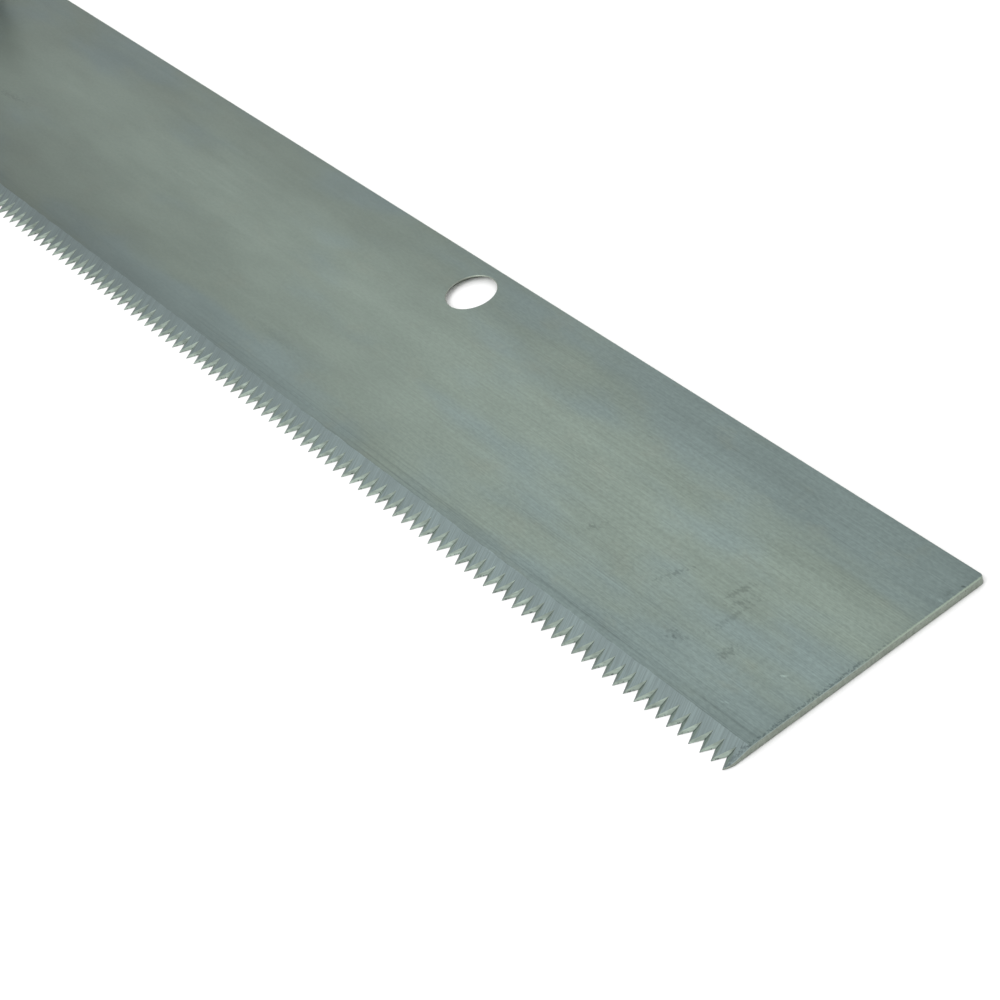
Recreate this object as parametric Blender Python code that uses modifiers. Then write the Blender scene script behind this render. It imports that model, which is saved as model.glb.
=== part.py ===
"""Flush-cutting trim saw: a flat reversible blade under an offset, turned handle.

The saw lies on the underside of its blade. +X points to the toe, +Y to the back of the
blade, +Z up through the handle. The origin is under the middle of the whole saw.
All lengths below are in metres; MM turns a figure in millimetres into metres.
"""

import math

import bmesh
import bpy
from mathutils import Matrix, Vector

MM = 0.001
GAP = 0.3 * MM                       # clearance left between neighbouring pieces
REACH = 2 * MM                       # how far a cutter runs past the face it cuts

# Blade
TEETH_PER_INCH = 11
TOOTH_PITCH = 25.4 * MM / TEETH_PER_INCH
BLADE_LENGTH = 400 * MM
BLADE_WIDTH = 44 * MM
BLADE_THICKNESS = 1.0 * MM
CORNER_RADIUS = 0.9 * MM
GRIND_WIDTH = 4.5 * MM               # strip along the teeth that is ground down to thin tips
TIP_THICKNESS = 0.2 * MM
TOE_OVERHANG = 0.3 * TOOTH_PITCH     # plain steel beyond the first tooth tip
TOE_NOSE_ANGLE = 40                  # degrees of arc from the first tip into the toe edge
GULLET_DEPTH = 0.8 * TOOTH_PITCH     # tip to root, measured on the underside
GULLET_ROOT = 0.54                   # place of a root between two tips, as a share of the pitch
GULLET_LEAN = Vector((0.32, 1.95))   # run of a gullet along X and Y for each unit of height
HOLE_RADIUS = 4.1 * MM
HOLE_MOUTH_RADIUS = 5.0 * MM         # countersunk from the underside
HOLE_FROM_END = 110 * MM
HOLE_FROM_BACK = 6 * MM

# Carrier: the pressed plate that holds the blade's heel
CARRIER_THICKNESS = 2.5 * MM
CARRIER_FRONT_EDGE = -11 * MM        # lower edge of its wide part, clear of the gullets
CARRIER_SHOULDER_FROM_TOE = 336 * MM
CARRIER_CORNER_RADIUS = 4 * MM
CARRIER_EDGE_BREAK = 0.4 * MM
LIP_HEIGHT_ABOVE_BED = 0.3 * MM
BACK_LIP_FROM_TOE = (298 * MM, 392 * MM)
HEEL_LIP_INSET = 5 * MM              # how much shorter than the plate at each end

# Clamp
BOLT_RADIUS = 3.0 * MM
BOLT_TOP = 20 * MM
BOLT_HEAD_RADIUS = HOLE_MOUTH_RADIUS - GAP
BOLT_TIP_CHAMFER = 0.8 * MM
SOCKET_CORNER_RADIUS = 1.8 * MM
SOCKET_DEPTH = 1.4 * MM
WASHER_RADIUS = 8.5 * MM
WASHER_THICKNESS = 1.5 * MM
WASHER_EDGE = 0.3 * MM
NUT_HEIGHT = 9 * MM
NUT_FOOT_RADIUS = 6.5 * MM
NUT_NECK_RADIUS = 5.0 * MM
NUT_CHAMFER = 0.6 * MM
WING_SPAN = 32 * MM
WING_RISE = 13.5 * MM
WING_THICKNESS = 2.6 * MM
WING_TIP_RADIUS = 4.6 * MM

# Tang and handle
TANG_WIDTH = 14 * MM
TANG_THICKNESS = 5 * MM
TANG_ROD_RADIUS = 4 * MM
TANG_BEND_RADIUS = 9 * MM
TANG_EDGE_BREAK = 0.5 * MM
TANG_TOE_END = 339 * MM              # distances from the toe
CRANK_START = 392 * MM
CRANK_ANGLE = math.radians(50)
BOLSTER_LENGTH = 5 * MM
BOLSTER_FRONT_RADIUS = 8 * MM
BOLSTER_BACK_RADIUS = 10 * MM
RIVET_RADIUS = 2.5 * MM
RIVET_SINK = 1.2 * MM
RIVET_HEAD_RADIUS = 4.6 * MM
RIVET_HEAD_HEIGHT = 2.4 * MM
RIVET_STATIONS = (348 * MM, 364 * MM, 380 * MM)     # distances from the toe
HANDLE_AXIS_Z = 34 * MM
HANDLE_FROM_TOE = 446 * MM
HANDLE_LENGTH = 120 * MM
FERRULE_LENGTH = 18 * MM
FERRULE_RADIUS = 11.8 * MM
FERRULE_WALL = 1.2 * MM
FERRULE_EDGE = 0.8 * MM
PIN_RADIUS = 1.0 * MM
PIN_LENGTH = 5.5 * MM
BUTT_WASHER_RADIUS = 8 * MM
BUTT_WASHER_THICKNESS = 1.6 * MM
BUTT_WASHER_EDGE = 0.5 * MM
BUTT_NUT_FLATS = 13 * MM
BUTT_NUT_HEX = 6.5 * MM
BUTT_NUT_CHAMFER = 0.6 * MM
BUTT_NUT_DOME = 4 * MM
BUTT_DOME_RADIUS = 5.6 * MM

# Places worked out from the sizes above
BUTT_STACK = 2 * GAP + BUTT_WASHER_THICKNESS + BUTT_NUT_HEX + BUTT_NUT_DOME
OVERALL_LENGTH = HANDLE_FROM_TOE + HANDLE_LENGTH + BUTT_STACK
TOE_X = OVERALL_LENGTH / 2
CARRIER_BACK_Y = (BLADE_WIDTH + GAP + CARRIER_THICKNESS) / 2
BLADE_BACK_Y = CARRIER_BACK_Y - CARRIER_THICKNESS - GAP
TOOTH_TIP_Y = BLADE_BACK_Y - BLADE_WIDTH
BOLT_Y = BLADE_BACK_Y - HOLE_FROM_BACK
BOLT_FROM_TOE = BLADE_LENGTH - HOLE_FROM_END
CARRIER_Z = BLADE_THICKNESS + GAP
TANG_Z = CARRIER_Z + CARRIER_THICKNESS + GAP
WASHER_Z = TANG_Z
NUT_Z = WASHER_Z + WASHER_THICKNESS + GAP
HEEL_LIP_FROM_TOE = BLADE_LENGTH + GAP + CARRIER_THICKNESS

ROUND_STEPS = 32
FINE_STEPS = 24


def from_toe(distance):
    """World x of a place that lies this far from the toe."""
    return TOE_X - distance


# Scene and objects

def clear_scene():
    for obj in list(bpy.data.objects):
        bpy.data.objects.remove(obj, do_unlink=True)


def new_collection(name):
    collection = bpy.data.collections.new(name)
    bpy.context.scene.collection.children.link(collection)
    return collection


def make_material(name, colour, metallic, roughness):
    material = bpy.data.materials.new(name)
    material.use_nodes = True
    shader = material.node_tree.nodes["Principled BSDF"]
    shader.inputs["Base Color"].default_value = (*colour, 1.0)
    shader.inputs["Metallic"].default_value = metallic
    shader.inputs["Roughness"].default_value = roughness
    return material


def add_object(name, mesh, collection, material=None):
    obj = bpy.data.objects.new(name, mesh)
    collection.objects.link(obj)
    if material:
        mesh.materials.clear()
        mesh.materials.append(material)
    return obj


def shade_round(obj, degrees=35):
    obj.data.shade_smooth()
    obj.data.set_sharp_from_angle(angle=math.radians(degrees))


def mark_cutter(obj):
    obj.hide_render = True
    obj.display_type = "WIRE"


def add_boolean(obj, other, operation="DIFFERENCE"):
    modifier = obj.modifiers.new(operation.title() + "_" + other.name, "BOOLEAN")
    modifier.operation = operation
    modifier.object = other


def add_bevel(obj, width, degrees=40):
    modifier = obj.modifiers.new("Edges", "BEVEL")
    modifier.width = width
    modifier.segments = 1
    modifier.limit_method = "ANGLE"
    modifier.angle_limit = math.radians(degrees)


def merge_flat_faces(obj):
    """Join the coplanar faces that a cut leaves behind."""
    modifier = obj.modifiers.new("Flat_faces", "DECIMATE")
    modifier.decimate_type = "DISSOLVE"
    modifier.angle_limit = math.radians(0.1)


# Shapes

def arc(centre, radius, start, end, steps):
    """Points along a circular arc, angles in degrees."""
    points = []
    for i in range(steps + 1):
        angle = math.radians(start + (end - start) * i / steps)
        points.append((centre[0] + radius * math.cos(angle), centre[1] + radius * math.sin(angle)))
    return points


def outline_mesh(name, outline, thickness):
    """A flat outline in XY made solid, centred on z = 0."""
    curve = bpy.data.curves.new(name, "CURVE")
    curve.dimensions = "2D"
    curve.fill_mode = "BOTH"
    curve.extrude = thickness / 2
    spline = curve.splines.new("POLY")
    spline.points.add(len(outline) - 1)
    for point, (x, y) in zip(spline.points, outline):
        point.co = (x, y, 0, 1)
    spline.use_cyclic_u = True
    source = bpy.data.objects.new(name + "_curve", curve)
    bpy.context.scene.collection.objects.link(source)
    evaluated = source.evaluated_get(bpy.context.evaluated_depsgraph_get())
    mesh = bpy.data.meshes.new_from_object(evaluated)
    bpy.data.objects.remove(source, do_unlink=True)
    mesh.name = name
    bm = bmesh.new()
    bm.from_mesh(mesh)
    bmesh.ops.remove_doubles(bm, verts=bm.verts, dist=1e-6)
    bmesh.ops.recalc_face_normals(bm, faces=bm.faces)
    bm.to_mesh(mesh)
    bm.free()
    return mesh


def box_mesh(name, low, high):
    bm = bmesh.new()
    bmesh.ops.create_cube(bm, size=1)
    size = Vector(high) - Vector(low)
    middle = (Vector(high) + Vector(low)) / 2
    bmesh.ops.transform(bm, verts=bm.verts, matrix=Matrix.Translation(middle) @ Matrix.Diagonal((*size, 1)))
    mesh = bpy.data.meshes.new(name)
    bm.to_mesh(mesh)
    bm.free()
    return mesh


def cylinder_mesh(name, radius, low, high, steps=FINE_STEPS, top_radius=None):
    """A cylinder or cone along local Z from low to high."""
    bm = bmesh.new()
    end_radius = radius if top_radius is None else top_radius
    bmesh.ops.create_cone(bm, cap_ends=True, segments=steps, radius1=radius, radius2=end_radius,
                          depth=high - low, matrix=Matrix.Translation((0, 0, (high + low) / 2)))
    mesh = bpy.data.meshes.new(name)
    bm.to_mesh(mesh)
    bm.free()
    return mesh


def turned_object(name, profile, collection, material, steps=ROUND_STEPS, closed=False):
    """Turn a profile of (radius, height) points, listed top to bottom, about local Z."""
    mesh = bpy.data.meshes.new(name)
    count = len(profile)
    edges = [(i, i + 1) for i in range(count - 1)]
    if closed:
        edges.append((count - 1, 0))
    mesh.from_pydata([(radius, 0, height) for radius, height in profile], edges, [])
    obj = add_object(name, mesh, collection, material)
    screw = obj.modifiers.new("Turn", "SCREW")
    screw.axis = "Z"
    screw.steps = steps
    screw.render_steps = steps
    screw.use_merge_vertices = True
    screw.merge_threshold = 1e-6
    screw.use_smooth_shade = False
    return obj


def smooth_through(stations, steps):
    """A Catmull-Rom line through (place, radius) stations."""
    points = []
    last = len(stations) - 1
    for i in range(last):
        before, a, b, after = (Vector(stations[max(0, min(last, i + k))]) for k in (-1, 0, 1, 2))
        for j in range(steps):
            t = j / steps
            bend = (2 * before - 5 * a + 4 * b - after) * t ** 2 + (3 * a - before - 3 * b + after) * t ** 3
            points.append(tuple(0.5 * (2 * a + (b - before) * t + bend)))
    points.append(tuple(stations[last]))
    return points


def strip_outline(centreline, thickness):
    """Outline of a strip of constant thickness about a centreline."""
    left, right = [], []
    last = len(centreline) - 1
    for i, point in enumerate(centreline):
        ahead = Vector(centreline[min(i + 1, last)])
        behind = Vector(centreline[max(i - 1, 0)])
        along = (ahead - behind).normalized()
        across = Vector((-along.y, along.x)) * thickness / 2
        left.append(tuple(Vector(point) + across))
        right.append(tuple(Vector(point) - across))
    return left + right[::-1]


# Blade

def comb_outline():
    """The gaps between the teeth as one toothed strip that starts at the first tip."""
    count = int(BLADE_LENGTH / TOOTH_PITCH) + 2
    margin = 3 * REACH
    first_tip = TOE_X - TOE_OVERHANG
    points = []
    for i in range(count):
        tip_x = first_tip - i * TOOTH_PITCH
        points.append((tip_x, TOOTH_TIP_Y))
        points.append((tip_x - GULLET_ROOT * TOOTH_PITCH, TOOTH_TIP_Y + GULLET_DEPTH))
    points.append((points[-1][0], TOOTH_TIP_Y - margin))
    points.append((points[0][0], TOOTH_TIP_Y - margin))
    return points


def comb_cutter(cutters):
    """The comb leans: its grooves run from the underside up, back and towards the toe."""
    mesh = outline_mesh("tooth_gaps", comb_outline(), 2 * REACH)
    lean = Matrix.Identity(4)
    lean[0][2] = GULLET_LEAN.x
    lean[1][2] = GULLET_LEAN.y
    mesh.transform(lean)
    cutter = add_object("tooth_gaps", mesh, cutters)
    mark_cutter(cutter)
    return cutter


def grind_cutter(cutters):
    """A long box tilted about the edge of the ground strip, down to the thin tooth tips."""
    low = (from_toe(BLADE_LENGTH) - REACH, -GRIND_WIDTH - REACH, 0)
    high = (TOE_X + REACH, 0, 2 * REACH)
    cutter = add_object("edge_grind", box_mesh("edge_grind", low, high), cutters)
    cutter.location = (0, TOOTH_TIP_Y + GRIND_WIDTH, BLADE_THICKNESS)
    fall = math.atan2(BLADE_THICKNESS - TIP_THICKNESS, GRIND_WIDTH)
    cutter.rotation_euler = (fall, 0, 0)
    mark_cutter(cutter)
    return cutter


def blade_outline():
    """Three plain corners, and one long arc from the first tooth tip into the toe edge."""
    heel_x = from_toe(BLADE_LENGTH)
    r = CORNER_RADIUS
    nose = math.radians(TOE_NOSE_ANGLE)
    nose_radius = TOE_OVERHANG / (1 - math.cos(nose))
    nose_centre = (TOE_X - nose_radius, TOOTH_TIP_Y + nose_radius * math.sin(nose))
    points = arc((TOE_X - r, BLADE_BACK_Y - r), r, 0, 90, 4)
    points += arc((heel_x + r, BLADE_BACK_Y - r), r, 90, 180, 4)
    points += arc((heel_x + r, TOOTH_TIP_Y + r), r, 180, 270, 4)
    points += arc(nose_centre, nose_radius, -TOE_NOSE_ANGLE, 0, 5)
    return points


def blade_hole_cutters(name, x, cutters):
    wall = cylinder_mesh(name, HOLE_RADIUS, -REACH, BLADE_THICKNESS + REACH, steps=48)
    mouth_slope = HOLE_MOUTH_RADIUS - HOLE_RADIUS
    mouth = cylinder_mesh(name + "_mouth", HOLE_MOUTH_RADIUS + REACH, -REACH, mouth_slope,
                          steps=48, top_radius=HOLE_RADIUS)
    found = []
    for part_name, mesh in ((name, wall), (name + "_mouth", mouth)):
        cutter = add_object(part_name, mesh, cutters)
        cutter.location = (x, BOLT_Y, 0)
        mark_cutter(cutter)
        found.append(cutter)
    return found


def make_blade(parts, cutters, material):
    mesh = outline_mesh("blade", blade_outline(), BLADE_THICKNESS)
    mesh.transform(Matrix.Translation((0, 0, BLADE_THICKNESS / 2)))
    blade = add_object("blade", mesh, parts, material)
    add_boolean(blade, grind_cutter(cutters))
    add_boolean(blade, comb_cutter(cutters))
    for name, distance in (("toe_hole", HOLE_FROM_END), ("heel_hole", BOLT_FROM_TOE)):
        for cutter in blade_hole_cutters(name, from_toe(distance), cutters):
            add_boolean(blade, cutter)
    merge_flat_faces(blade)
    return blade


# Carrier plate

def carrier_outline():
    """Back edge, round nose about the clamp bolt, then a slope out to the wide heel part."""
    nose = (from_toe(BOLT_FROM_TOE), BOLT_Y)
    heel_x = from_toe(HEEL_LIP_FROM_TOE)
    shoulder = (from_toe(CARRIER_SHOULDER_FROM_TOE), CARRIER_FRONT_EDGE)
    corner = CARRIER_CORNER_RADIUS
    points = arc((heel_x + corner, CARRIER_FRONT_EDGE + corner), corner, 180, 270, 5)
    points.append(shoulder)
    points += arc(nose, CARRIER_BACK_Y - BOLT_Y, -60, 90, 14)
    points += arc((heel_x + corner, CARRIER_BACK_Y - corner), corner, 90, 180, 5)
    return points


def make_carrier(parts, cutters, material):
    mesh = outline_mesh("carrier_plate", carrier_outline(), CARRIER_THICKNESS)
    mesh.transform(Matrix.Translation((0, 0, CARRIER_Z + CARRIER_THICKNESS / 2)))
    carrier = add_object("carrier_plate", mesh, parts, material)
    overlap = CARRIER_THICKNESS / 2
    back_start, back_end = BACK_LIP_FROM_TOE
    heel_low_y = CARRIER_FRONT_EDGE + HEEL_LIP_INSET
    lips = {
        "back_lip": ((from_toe(back_end), BLADE_BACK_Y + GAP, LIP_HEIGHT_ABOVE_BED),
                     (from_toe(back_start), CARRIER_BACK_Y, CARRIER_Z + overlap)),
        "heel_lip": ((from_toe(HEEL_LIP_FROM_TOE), heel_low_y, LIP_HEIGHT_ABOVE_BED),
                     (from_toe(BLADE_LENGTH + GAP), BLADE_BACK_Y - HEEL_LIP_INSET, CARRIER_Z + overlap)),
    }
    for name, (low, high) in lips.items():
        lip = add_object(name, box_mesh(name, low, high), cutters)
        mark_cutter(lip)
        add_boolean(carrier, lip, "UNION")
    half_hole = BOLT_RADIUS + GAP
    square = box_mesh("neck_hole", (-half_hole, -half_hole, 0), (half_hole, half_hole, TANG_Z + REACH))
    cutter = add_object("neck_hole", square, cutters)
    cutter.location = (from_toe(BOLT_FROM_TOE), BOLT_Y, 0)
    mark_cutter(cutter)
    add_boolean(carrier, cutter)
    for i, distance in enumerate(RIVET_STATIONS):
        for cutter in rivet_hole_cutters("carrier_rivet_hole_%d" % (i + 1), distance, cutters):
            add_boolean(carrier, cutter)
    merge_flat_faces(carrier)
    add_bevel(carrier, CARRIER_EDGE_BREAK)
    return carrier


# Rivets

def rivet_hole_cutters(name, distance, cutters):
    """A straight hole and its countersink in the carrier's underside."""
    radius = RIVET_RADIUS + GAP
    hole = cylinder_mesh(name, radius, 0, TANG_Z + REACH)
    mouth = cylinder_mesh(name + "_sink", radius + RIVET_SINK + MM, CARRIER_Z - MM,
                          CARRIER_Z + RIVET_SINK, top_radius=radius)
    found = []
    for part_name, mesh in ((name, hole), (name + "_sink", mouth)):
        cutter = add_object(part_name, mesh, cutters)
        cutter.location = (from_toe(distance), 0, 0)
        mark_cutter(cutter)
        found.append(cutter)
    return found


def make_rivet(name, distance, parts, material):
    """Flush below, where the blade lies, and round-headed above."""
    head_z = TANG_Z + TANG_THICKNESS + GAP
    steps = 5
    profile = []
    for i in range(steps + 1):
        angle = math.pi / 2 * i / steps
        height = RIVET_HEAD_HEIGHT * math.cos(angle)
        profile.append((RIVET_HEAD_RADIUS * math.sin(angle), head_z + height))
    profile += [(RIVET_RADIUS, head_z), (RIVET_RADIUS, CARRIER_Z + RIVET_SINK)]
    profile += [(RIVET_RADIUS + RIVET_SINK, CARRIER_Z), (0, CARRIER_Z)]
    rivet = turned_object(name, profile, parts, material, steps=FINE_STEPS)
    rivet.location = (from_toe(distance), 0, 0)
    shade_round(rivet)
    return rivet


# Clamp

def make_clamp_bolt(parts, cutters, material):
    """Flush countersunk head, square neck in the carrier, plain shank for the thread."""
    tip = BOLT_TIP_CHAMFER
    profile = [(0, BOLT_TOP), (BOLT_RADIUS - tip, BOLT_TOP), (BOLT_RADIUS, BOLT_TOP - tip),
               (BOLT_RADIUS, CARRIER_Z), (BOLT_HEAD_RADIUS, 0), (0, 0)]
    bolt = turned_object("clamp_bolt", profile, parts, material, steps=FINE_STEPS)
    bolt.location = (from_toe(BOLT_FROM_TOE), BOLT_Y, 0)
    neck_mesh = box_mesh("square_neck", (-BOLT_RADIUS, -BOLT_RADIUS, CARRIER_Z),
                         (BOLT_RADIUS, BOLT_RADIUS, TANG_Z - GAP))
    neck = add_object("square_neck", neck_mesh, cutters)
    neck.location = bolt.location
    mark_cutter(neck)
    add_boolean(bolt, neck, "UNION")
    socket_mesh = cylinder_mesh("hex_socket", SOCKET_CORNER_RADIUS, -REACH, SOCKET_DEPTH, steps=6)
    socket = add_object("hex_socket", socket_mesh, cutters)
    socket.location = bolt.location
    mark_cutter(socket)
    add_boolean(bolt, socket)
    shade_round(bolt)
    return bolt


def make_washer(parts, material):
    inner = BOLT_RADIUS + GAP
    edge = WASHER_EDGE
    low, high = WASHER_Z, WASHER_Z + WASHER_THICKNESS
    profile = [(inner, high), (WASHER_RADIUS - edge, high), (WASHER_RADIUS, high - edge),
               (WASHER_RADIUS, low), (inner, low)]
    washer = turned_object("captive_washer", profile, parts, material, closed=True)
    washer.location = (from_toe(BOLT_FROM_TOE), BOLT_Y, 0)
    shade_round(washer)
    return washer


def wing_outline():
    """Both wings and the web between them, seen from the side, with z up as y here."""
    half = WING_SPAN / 2
    tip = WING_TIP_RADIUS
    top = NUT_Z + WING_RISE - tip
    right = [(0, NUT_Z + 1.5 * MM), (5 * MM, NUT_Z + 1.5 * MM), (half - 3.5 * MM, NUT_Z + 5.2 * MM)]
    right += arc((half - tip, top), tip, -35, 150, 9)
    right += [(6.6 * MM, NUT_Z + 7.8 * MM), (NUT_NECK_RADIUS, NUT_Z + NUT_HEIGHT - 1.5 * MM)]
    left = [(-x, z) for x, z in reversed(right[1:])]
    return right + left


def make_wing_nut(parts, cutters, material):
    """The nut turns about the bolt, so its origin is on the bolt's axis."""
    chamfer = NUT_CHAMFER
    top = NUT_Z + NUT_HEIGHT
    profile = [(0, top), (NUT_NECK_RADIUS - chamfer, top), (NUT_NECK_RADIUS, top - chamfer),
               (NUT_FOOT_RADIUS, NUT_Z + chamfer), (NUT_FOOT_RADIUS - chamfer, NUT_Z), (0, NUT_Z)]
    nut = turned_object("wing_nut", profile, parts, material, steps=32)
    nut.location = (from_toe(BOLT_FROM_TOE), BOLT_Y, 0)
    mesh = outline_mesh("wings", wing_outline(), WING_THICKNESS)
    mesh.transform(Matrix.Rotation(math.pi / 2, 4, "X"))
    wings = add_object("wings", mesh, cutters)
    wings.location = nut.location
    mark_cutter(wings)
    add_boolean(nut, wings, "UNION")
    bore_mesh = cylinder_mesh("nut_bore", BOLT_RADIUS + GAP, 0, BOLT_TOP + REACH, steps=32)
    bore = add_object("nut_bore", bore_mesh, cutters)
    bore.location = nut.location
    mark_cutter(bore)
    add_boolean(nut, bore)
    shade_round(nut)
    return nut


# Tang

def tang_centreline():
    """Flat on the carrier, up the crank, then level into the handle (x towards the heel)."""
    low_z = TANG_Z + TANG_THICKNESS / 2
    rise = HANDLE_AXIS_Z - low_z
    r = TANG_BEND_RADIUS
    angle = math.degrees(CRANK_ANGLE)
    slope = rise - 2 * r * (1 - math.cos(CRANK_ANGLE))
    run = slope / math.tan(CRANK_ANGLE)
    upper_start = CRANK_START + 2 * r * math.sin(CRANK_ANGLE) + run
    points = [(TANG_TOE_END, low_z)]
    points += arc((CRANK_START, low_z + r), r, -90, -90 + angle, 6)
    points += arc((upper_start, HANDLE_AXIS_Z - r), r, 90 + angle, 90, 6)
    points.append((HANDLE_FROM_TOE - BOLSTER_LENGTH / 2, HANDLE_AXIS_Z))
    return points


def make_tang(parts, cutters, material):
    """Cranked flat bar, bolster and threaded rod, forged as one piece."""
    outline = [(from_toe(distance), z) for distance, z in strip_outline(tang_centreline(), TANG_THICKNESS)]
    mesh = outline_mesh("tang", outline, TANG_WIDTH)
    mesh.transform(Matrix.Rotation(math.pi / 2, 4, "X"))
    tang = add_object("tang", mesh, parts, material)
    bolster_end = -from_toe(HANDLE_FROM_TOE) - GAP
    rod_end = -from_toe(HANDLE_FROM_TOE + HANDLE_LENGTH + BUTT_STACK - BUTT_NUT_DOME)
    pieces = {
        "bolster": cylinder_mesh("bolster", BOLSTER_FRONT_RADIUS, bolster_end - BOLSTER_LENGTH,
                                 bolster_end, top_radius=BOLSTER_BACK_RADIUS),
        "rod": cylinder_mesh("rod", TANG_ROD_RADIUS, bolster_end - BOLSTER_LENGTH / 2, rod_end),
    }
    for name, piece_mesh in pieces.items():
        piece = add_object(name, piece_mesh, cutters)
        piece.rotation_euler = (0, -math.pi / 2, 0)
        piece.location = (0, 0, HANDLE_AXIS_Z)
        mark_cutter(piece)
        add_boolean(tang, piece, "UNION")
    for i, distance in enumerate(RIVET_STATIONS):
        name = "tang_rivet_hole_%d" % (i + 1)
        cutter = add_object(name, cylinder_mesh(name, RIVET_RADIUS + GAP, 0, HANDLE_AXIS_Z), cutters)
        cutter.location = (from_toe(distance), 0, 0)
        mark_cutter(cutter)
        add_boolean(tang, cutter)
    merge_flat_faces(tang)
    add_bevel(tang, TANG_EDGE_BREAK)
    return tang


# Handle: each turned piece has its local Z along the saw, towards the toe

def lay_along_handle(obj):
    obj.rotation_euler = (0, math.pi / 2, 0)
    obj.location = (from_toe(HANDLE_FROM_TOE), 0, HANDLE_AXIS_Z)
    shade_round(obj)


def make_ferrule(parts, cutters, material):
    """A brass cup over the front of the handle, pierced for the tang and the pin."""
    inner = FERRULE_RADIUS - FERRULE_WALL
    eye = TANG_ROD_RADIUS + GAP
    edge = FERRULE_EDGE
    back = -FERRULE_LENGTH
    profile = [(eye, 0), (FERRULE_RADIUS - edge, 0), (FERRULE_RADIUS - 0.3 * edge, -0.3 * edge),
               (FERRULE_RADIUS, -edge), (FERRULE_RADIUS, back), (inner, back),
               (inner, -FERRULE_WALL), (eye, -FERRULE_WALL)]
    ferrule = turned_object("ferrule", profile, parts, material, closed=True)
    lay_along_handle(ferrule)
    add_boolean(ferrule, pin_hole_cutter("ferrule_pin_hole", cutters))
    return ferrule


def pin_hole_cutter(name, cutters):
    top = HANDLE_AXIS_Z + FERRULE_RADIUS
    mesh = cylinder_mesh(name, PIN_RADIUS + GAP, top - PIN_LENGTH - GAP, top + REACH, steps=16)
    cutter = add_object(name, mesh, cutters)
    cutter.location = (from_toe(HANDLE_FROM_TOE + FERRULE_LENGTH / 2), 0, 0)
    mark_cutter(cutter)
    return cutter


def make_ferrule_pin(parts, material):
    top = HANDLE_AXIS_Z + FERRULE_RADIUS
    low = top - PIN_LENGTH
    profile = [(0, top), (PIN_RADIUS, top - PIN_RADIUS / 5), (PIN_RADIUS, low), (0, low)]
    pin = turned_object("ferrule_pin", profile, parts, material, steps=16)
    pin.location = (from_toe(HANDLE_FROM_TOE + FERRULE_LENGTH / 2), 0, 0)
    shade_round(pin)
    return pin


def handle_profile():
    """Spigot for the ferrule, a bead, a waist, the swell for the palm and a round butt."""
    spigot = FERRULE_RADIUS - FERRULE_WALL - GAP
    shoulder = FERRULE_LENGTH + GAP
    stations = [
        (shoulder, 12.4 * MM), (shoulder + 2 * MM, 13.6 * MM), (shoulder + 5 * MM, 13.4 * MM),
        (shoulder + 9 * MM, 12.2 * MM), (shoulder + 18 * MM, 12.6 * MM), (shoulder + 36 * MM, 15.2 * MM),
        (shoulder + 58 * MM, 17.0 * MM), (shoulder + 78 * MM, 16.4 * MM), (shoulder + 90 * MM, 14.8 * MM),
        (HANDLE_LENGTH - 4 * MM, 12.6 * MM), (HANDLE_LENGTH, 9.2 * MM),
    ]
    bore = TANG_ROD_RADIUS + GAP
    front = FERRULE_WALL + GAP
    profile = [(bore, -front), (spigot, -front), (spigot, -shoulder)]
    profile += [(radius, -place) for place, radius in smooth_through(stations, 2)]
    profile.append((bore, -HANDLE_LENGTH))
    return profile


def make_handle(parts, cutters, material):
    handle = turned_object("handle", handle_profile(), parts, material, closed=True)
    lay_along_handle(handle)
    add_boolean(handle, pin_hole_cutter("handle_pin_hole", cutters))
    return handle


def make_butt_washer(parts, material):
    high = -HANDLE_LENGTH - GAP
    low = high - BUTT_WASHER_THICKNESS
    inner = TANG_ROD_RADIUS + GAP
    edge = BUTT_WASHER_EDGE
    profile = [(inner, high), (BUTT_WASHER_RADIUS, high), (BUTT_WASHER_RADIUS, low + edge),
               (BUTT_WASHER_RADIUS - edge, low), (inner, low)]
    washer = turned_object("butt_washer", profile, parts, material, closed=True)
    lay_along_handle(washer)
    return washer


def make_butt_nut(parts, cutters, material):
    """Domed brass nut: a turned cap cut to a hexagon at its foot."""
    foot = -HANDLE_LENGTH - 2 * GAP - BUTT_WASHER_THICKNESS
    hex_end = foot - BUTT_NUT_HEX
    corner_radius = BUTT_NUT_FLATS / math.sqrt(3)
    chamfer = BUTT_NUT_CHAMFER
    bore = TANG_ROD_RADIUS + GAP
    profile = [(0, foot), (corner_radius - chamfer, foot), (corner_radius, foot - chamfer),
               (corner_radius, hex_end + chamfer), (BUTT_DOME_RADIUS, hex_end)]
    steps = 5
    for i in range(1, steps + 1):
        angle = math.pi / 2 * i / steps
        profile.append((BUTT_DOME_RADIUS * math.cos(angle), hex_end - BUTT_NUT_DOME * math.sin(angle)))
    nut = turned_object("butt_nut", profile, parts, material, steps=24)
    lay_along_handle(nut)
    tip = hex_end - BUTT_NUT_DOME
    hexagon_mesh = cylinder_mesh("nut_hexagon", corner_radius, tip - REACH, foot + REACH, steps=6)
    blind_mesh = cylinder_mesh("nut_blind_bore", bore, hex_end - GAP, foot + REACH)
    for name, mesh, operation in (("nut_hexagon", hexagon_mesh, "INTERSECT"),
                                  ("nut_blind_bore", blind_mesh, "DIFFERENCE")):
        cutter = add_object(name, mesh, cutters)
        lay_along_handle(cutter)
        mark_cutter(cutter)
        add_boolean(nut, cutter, operation)
    return nut


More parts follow.
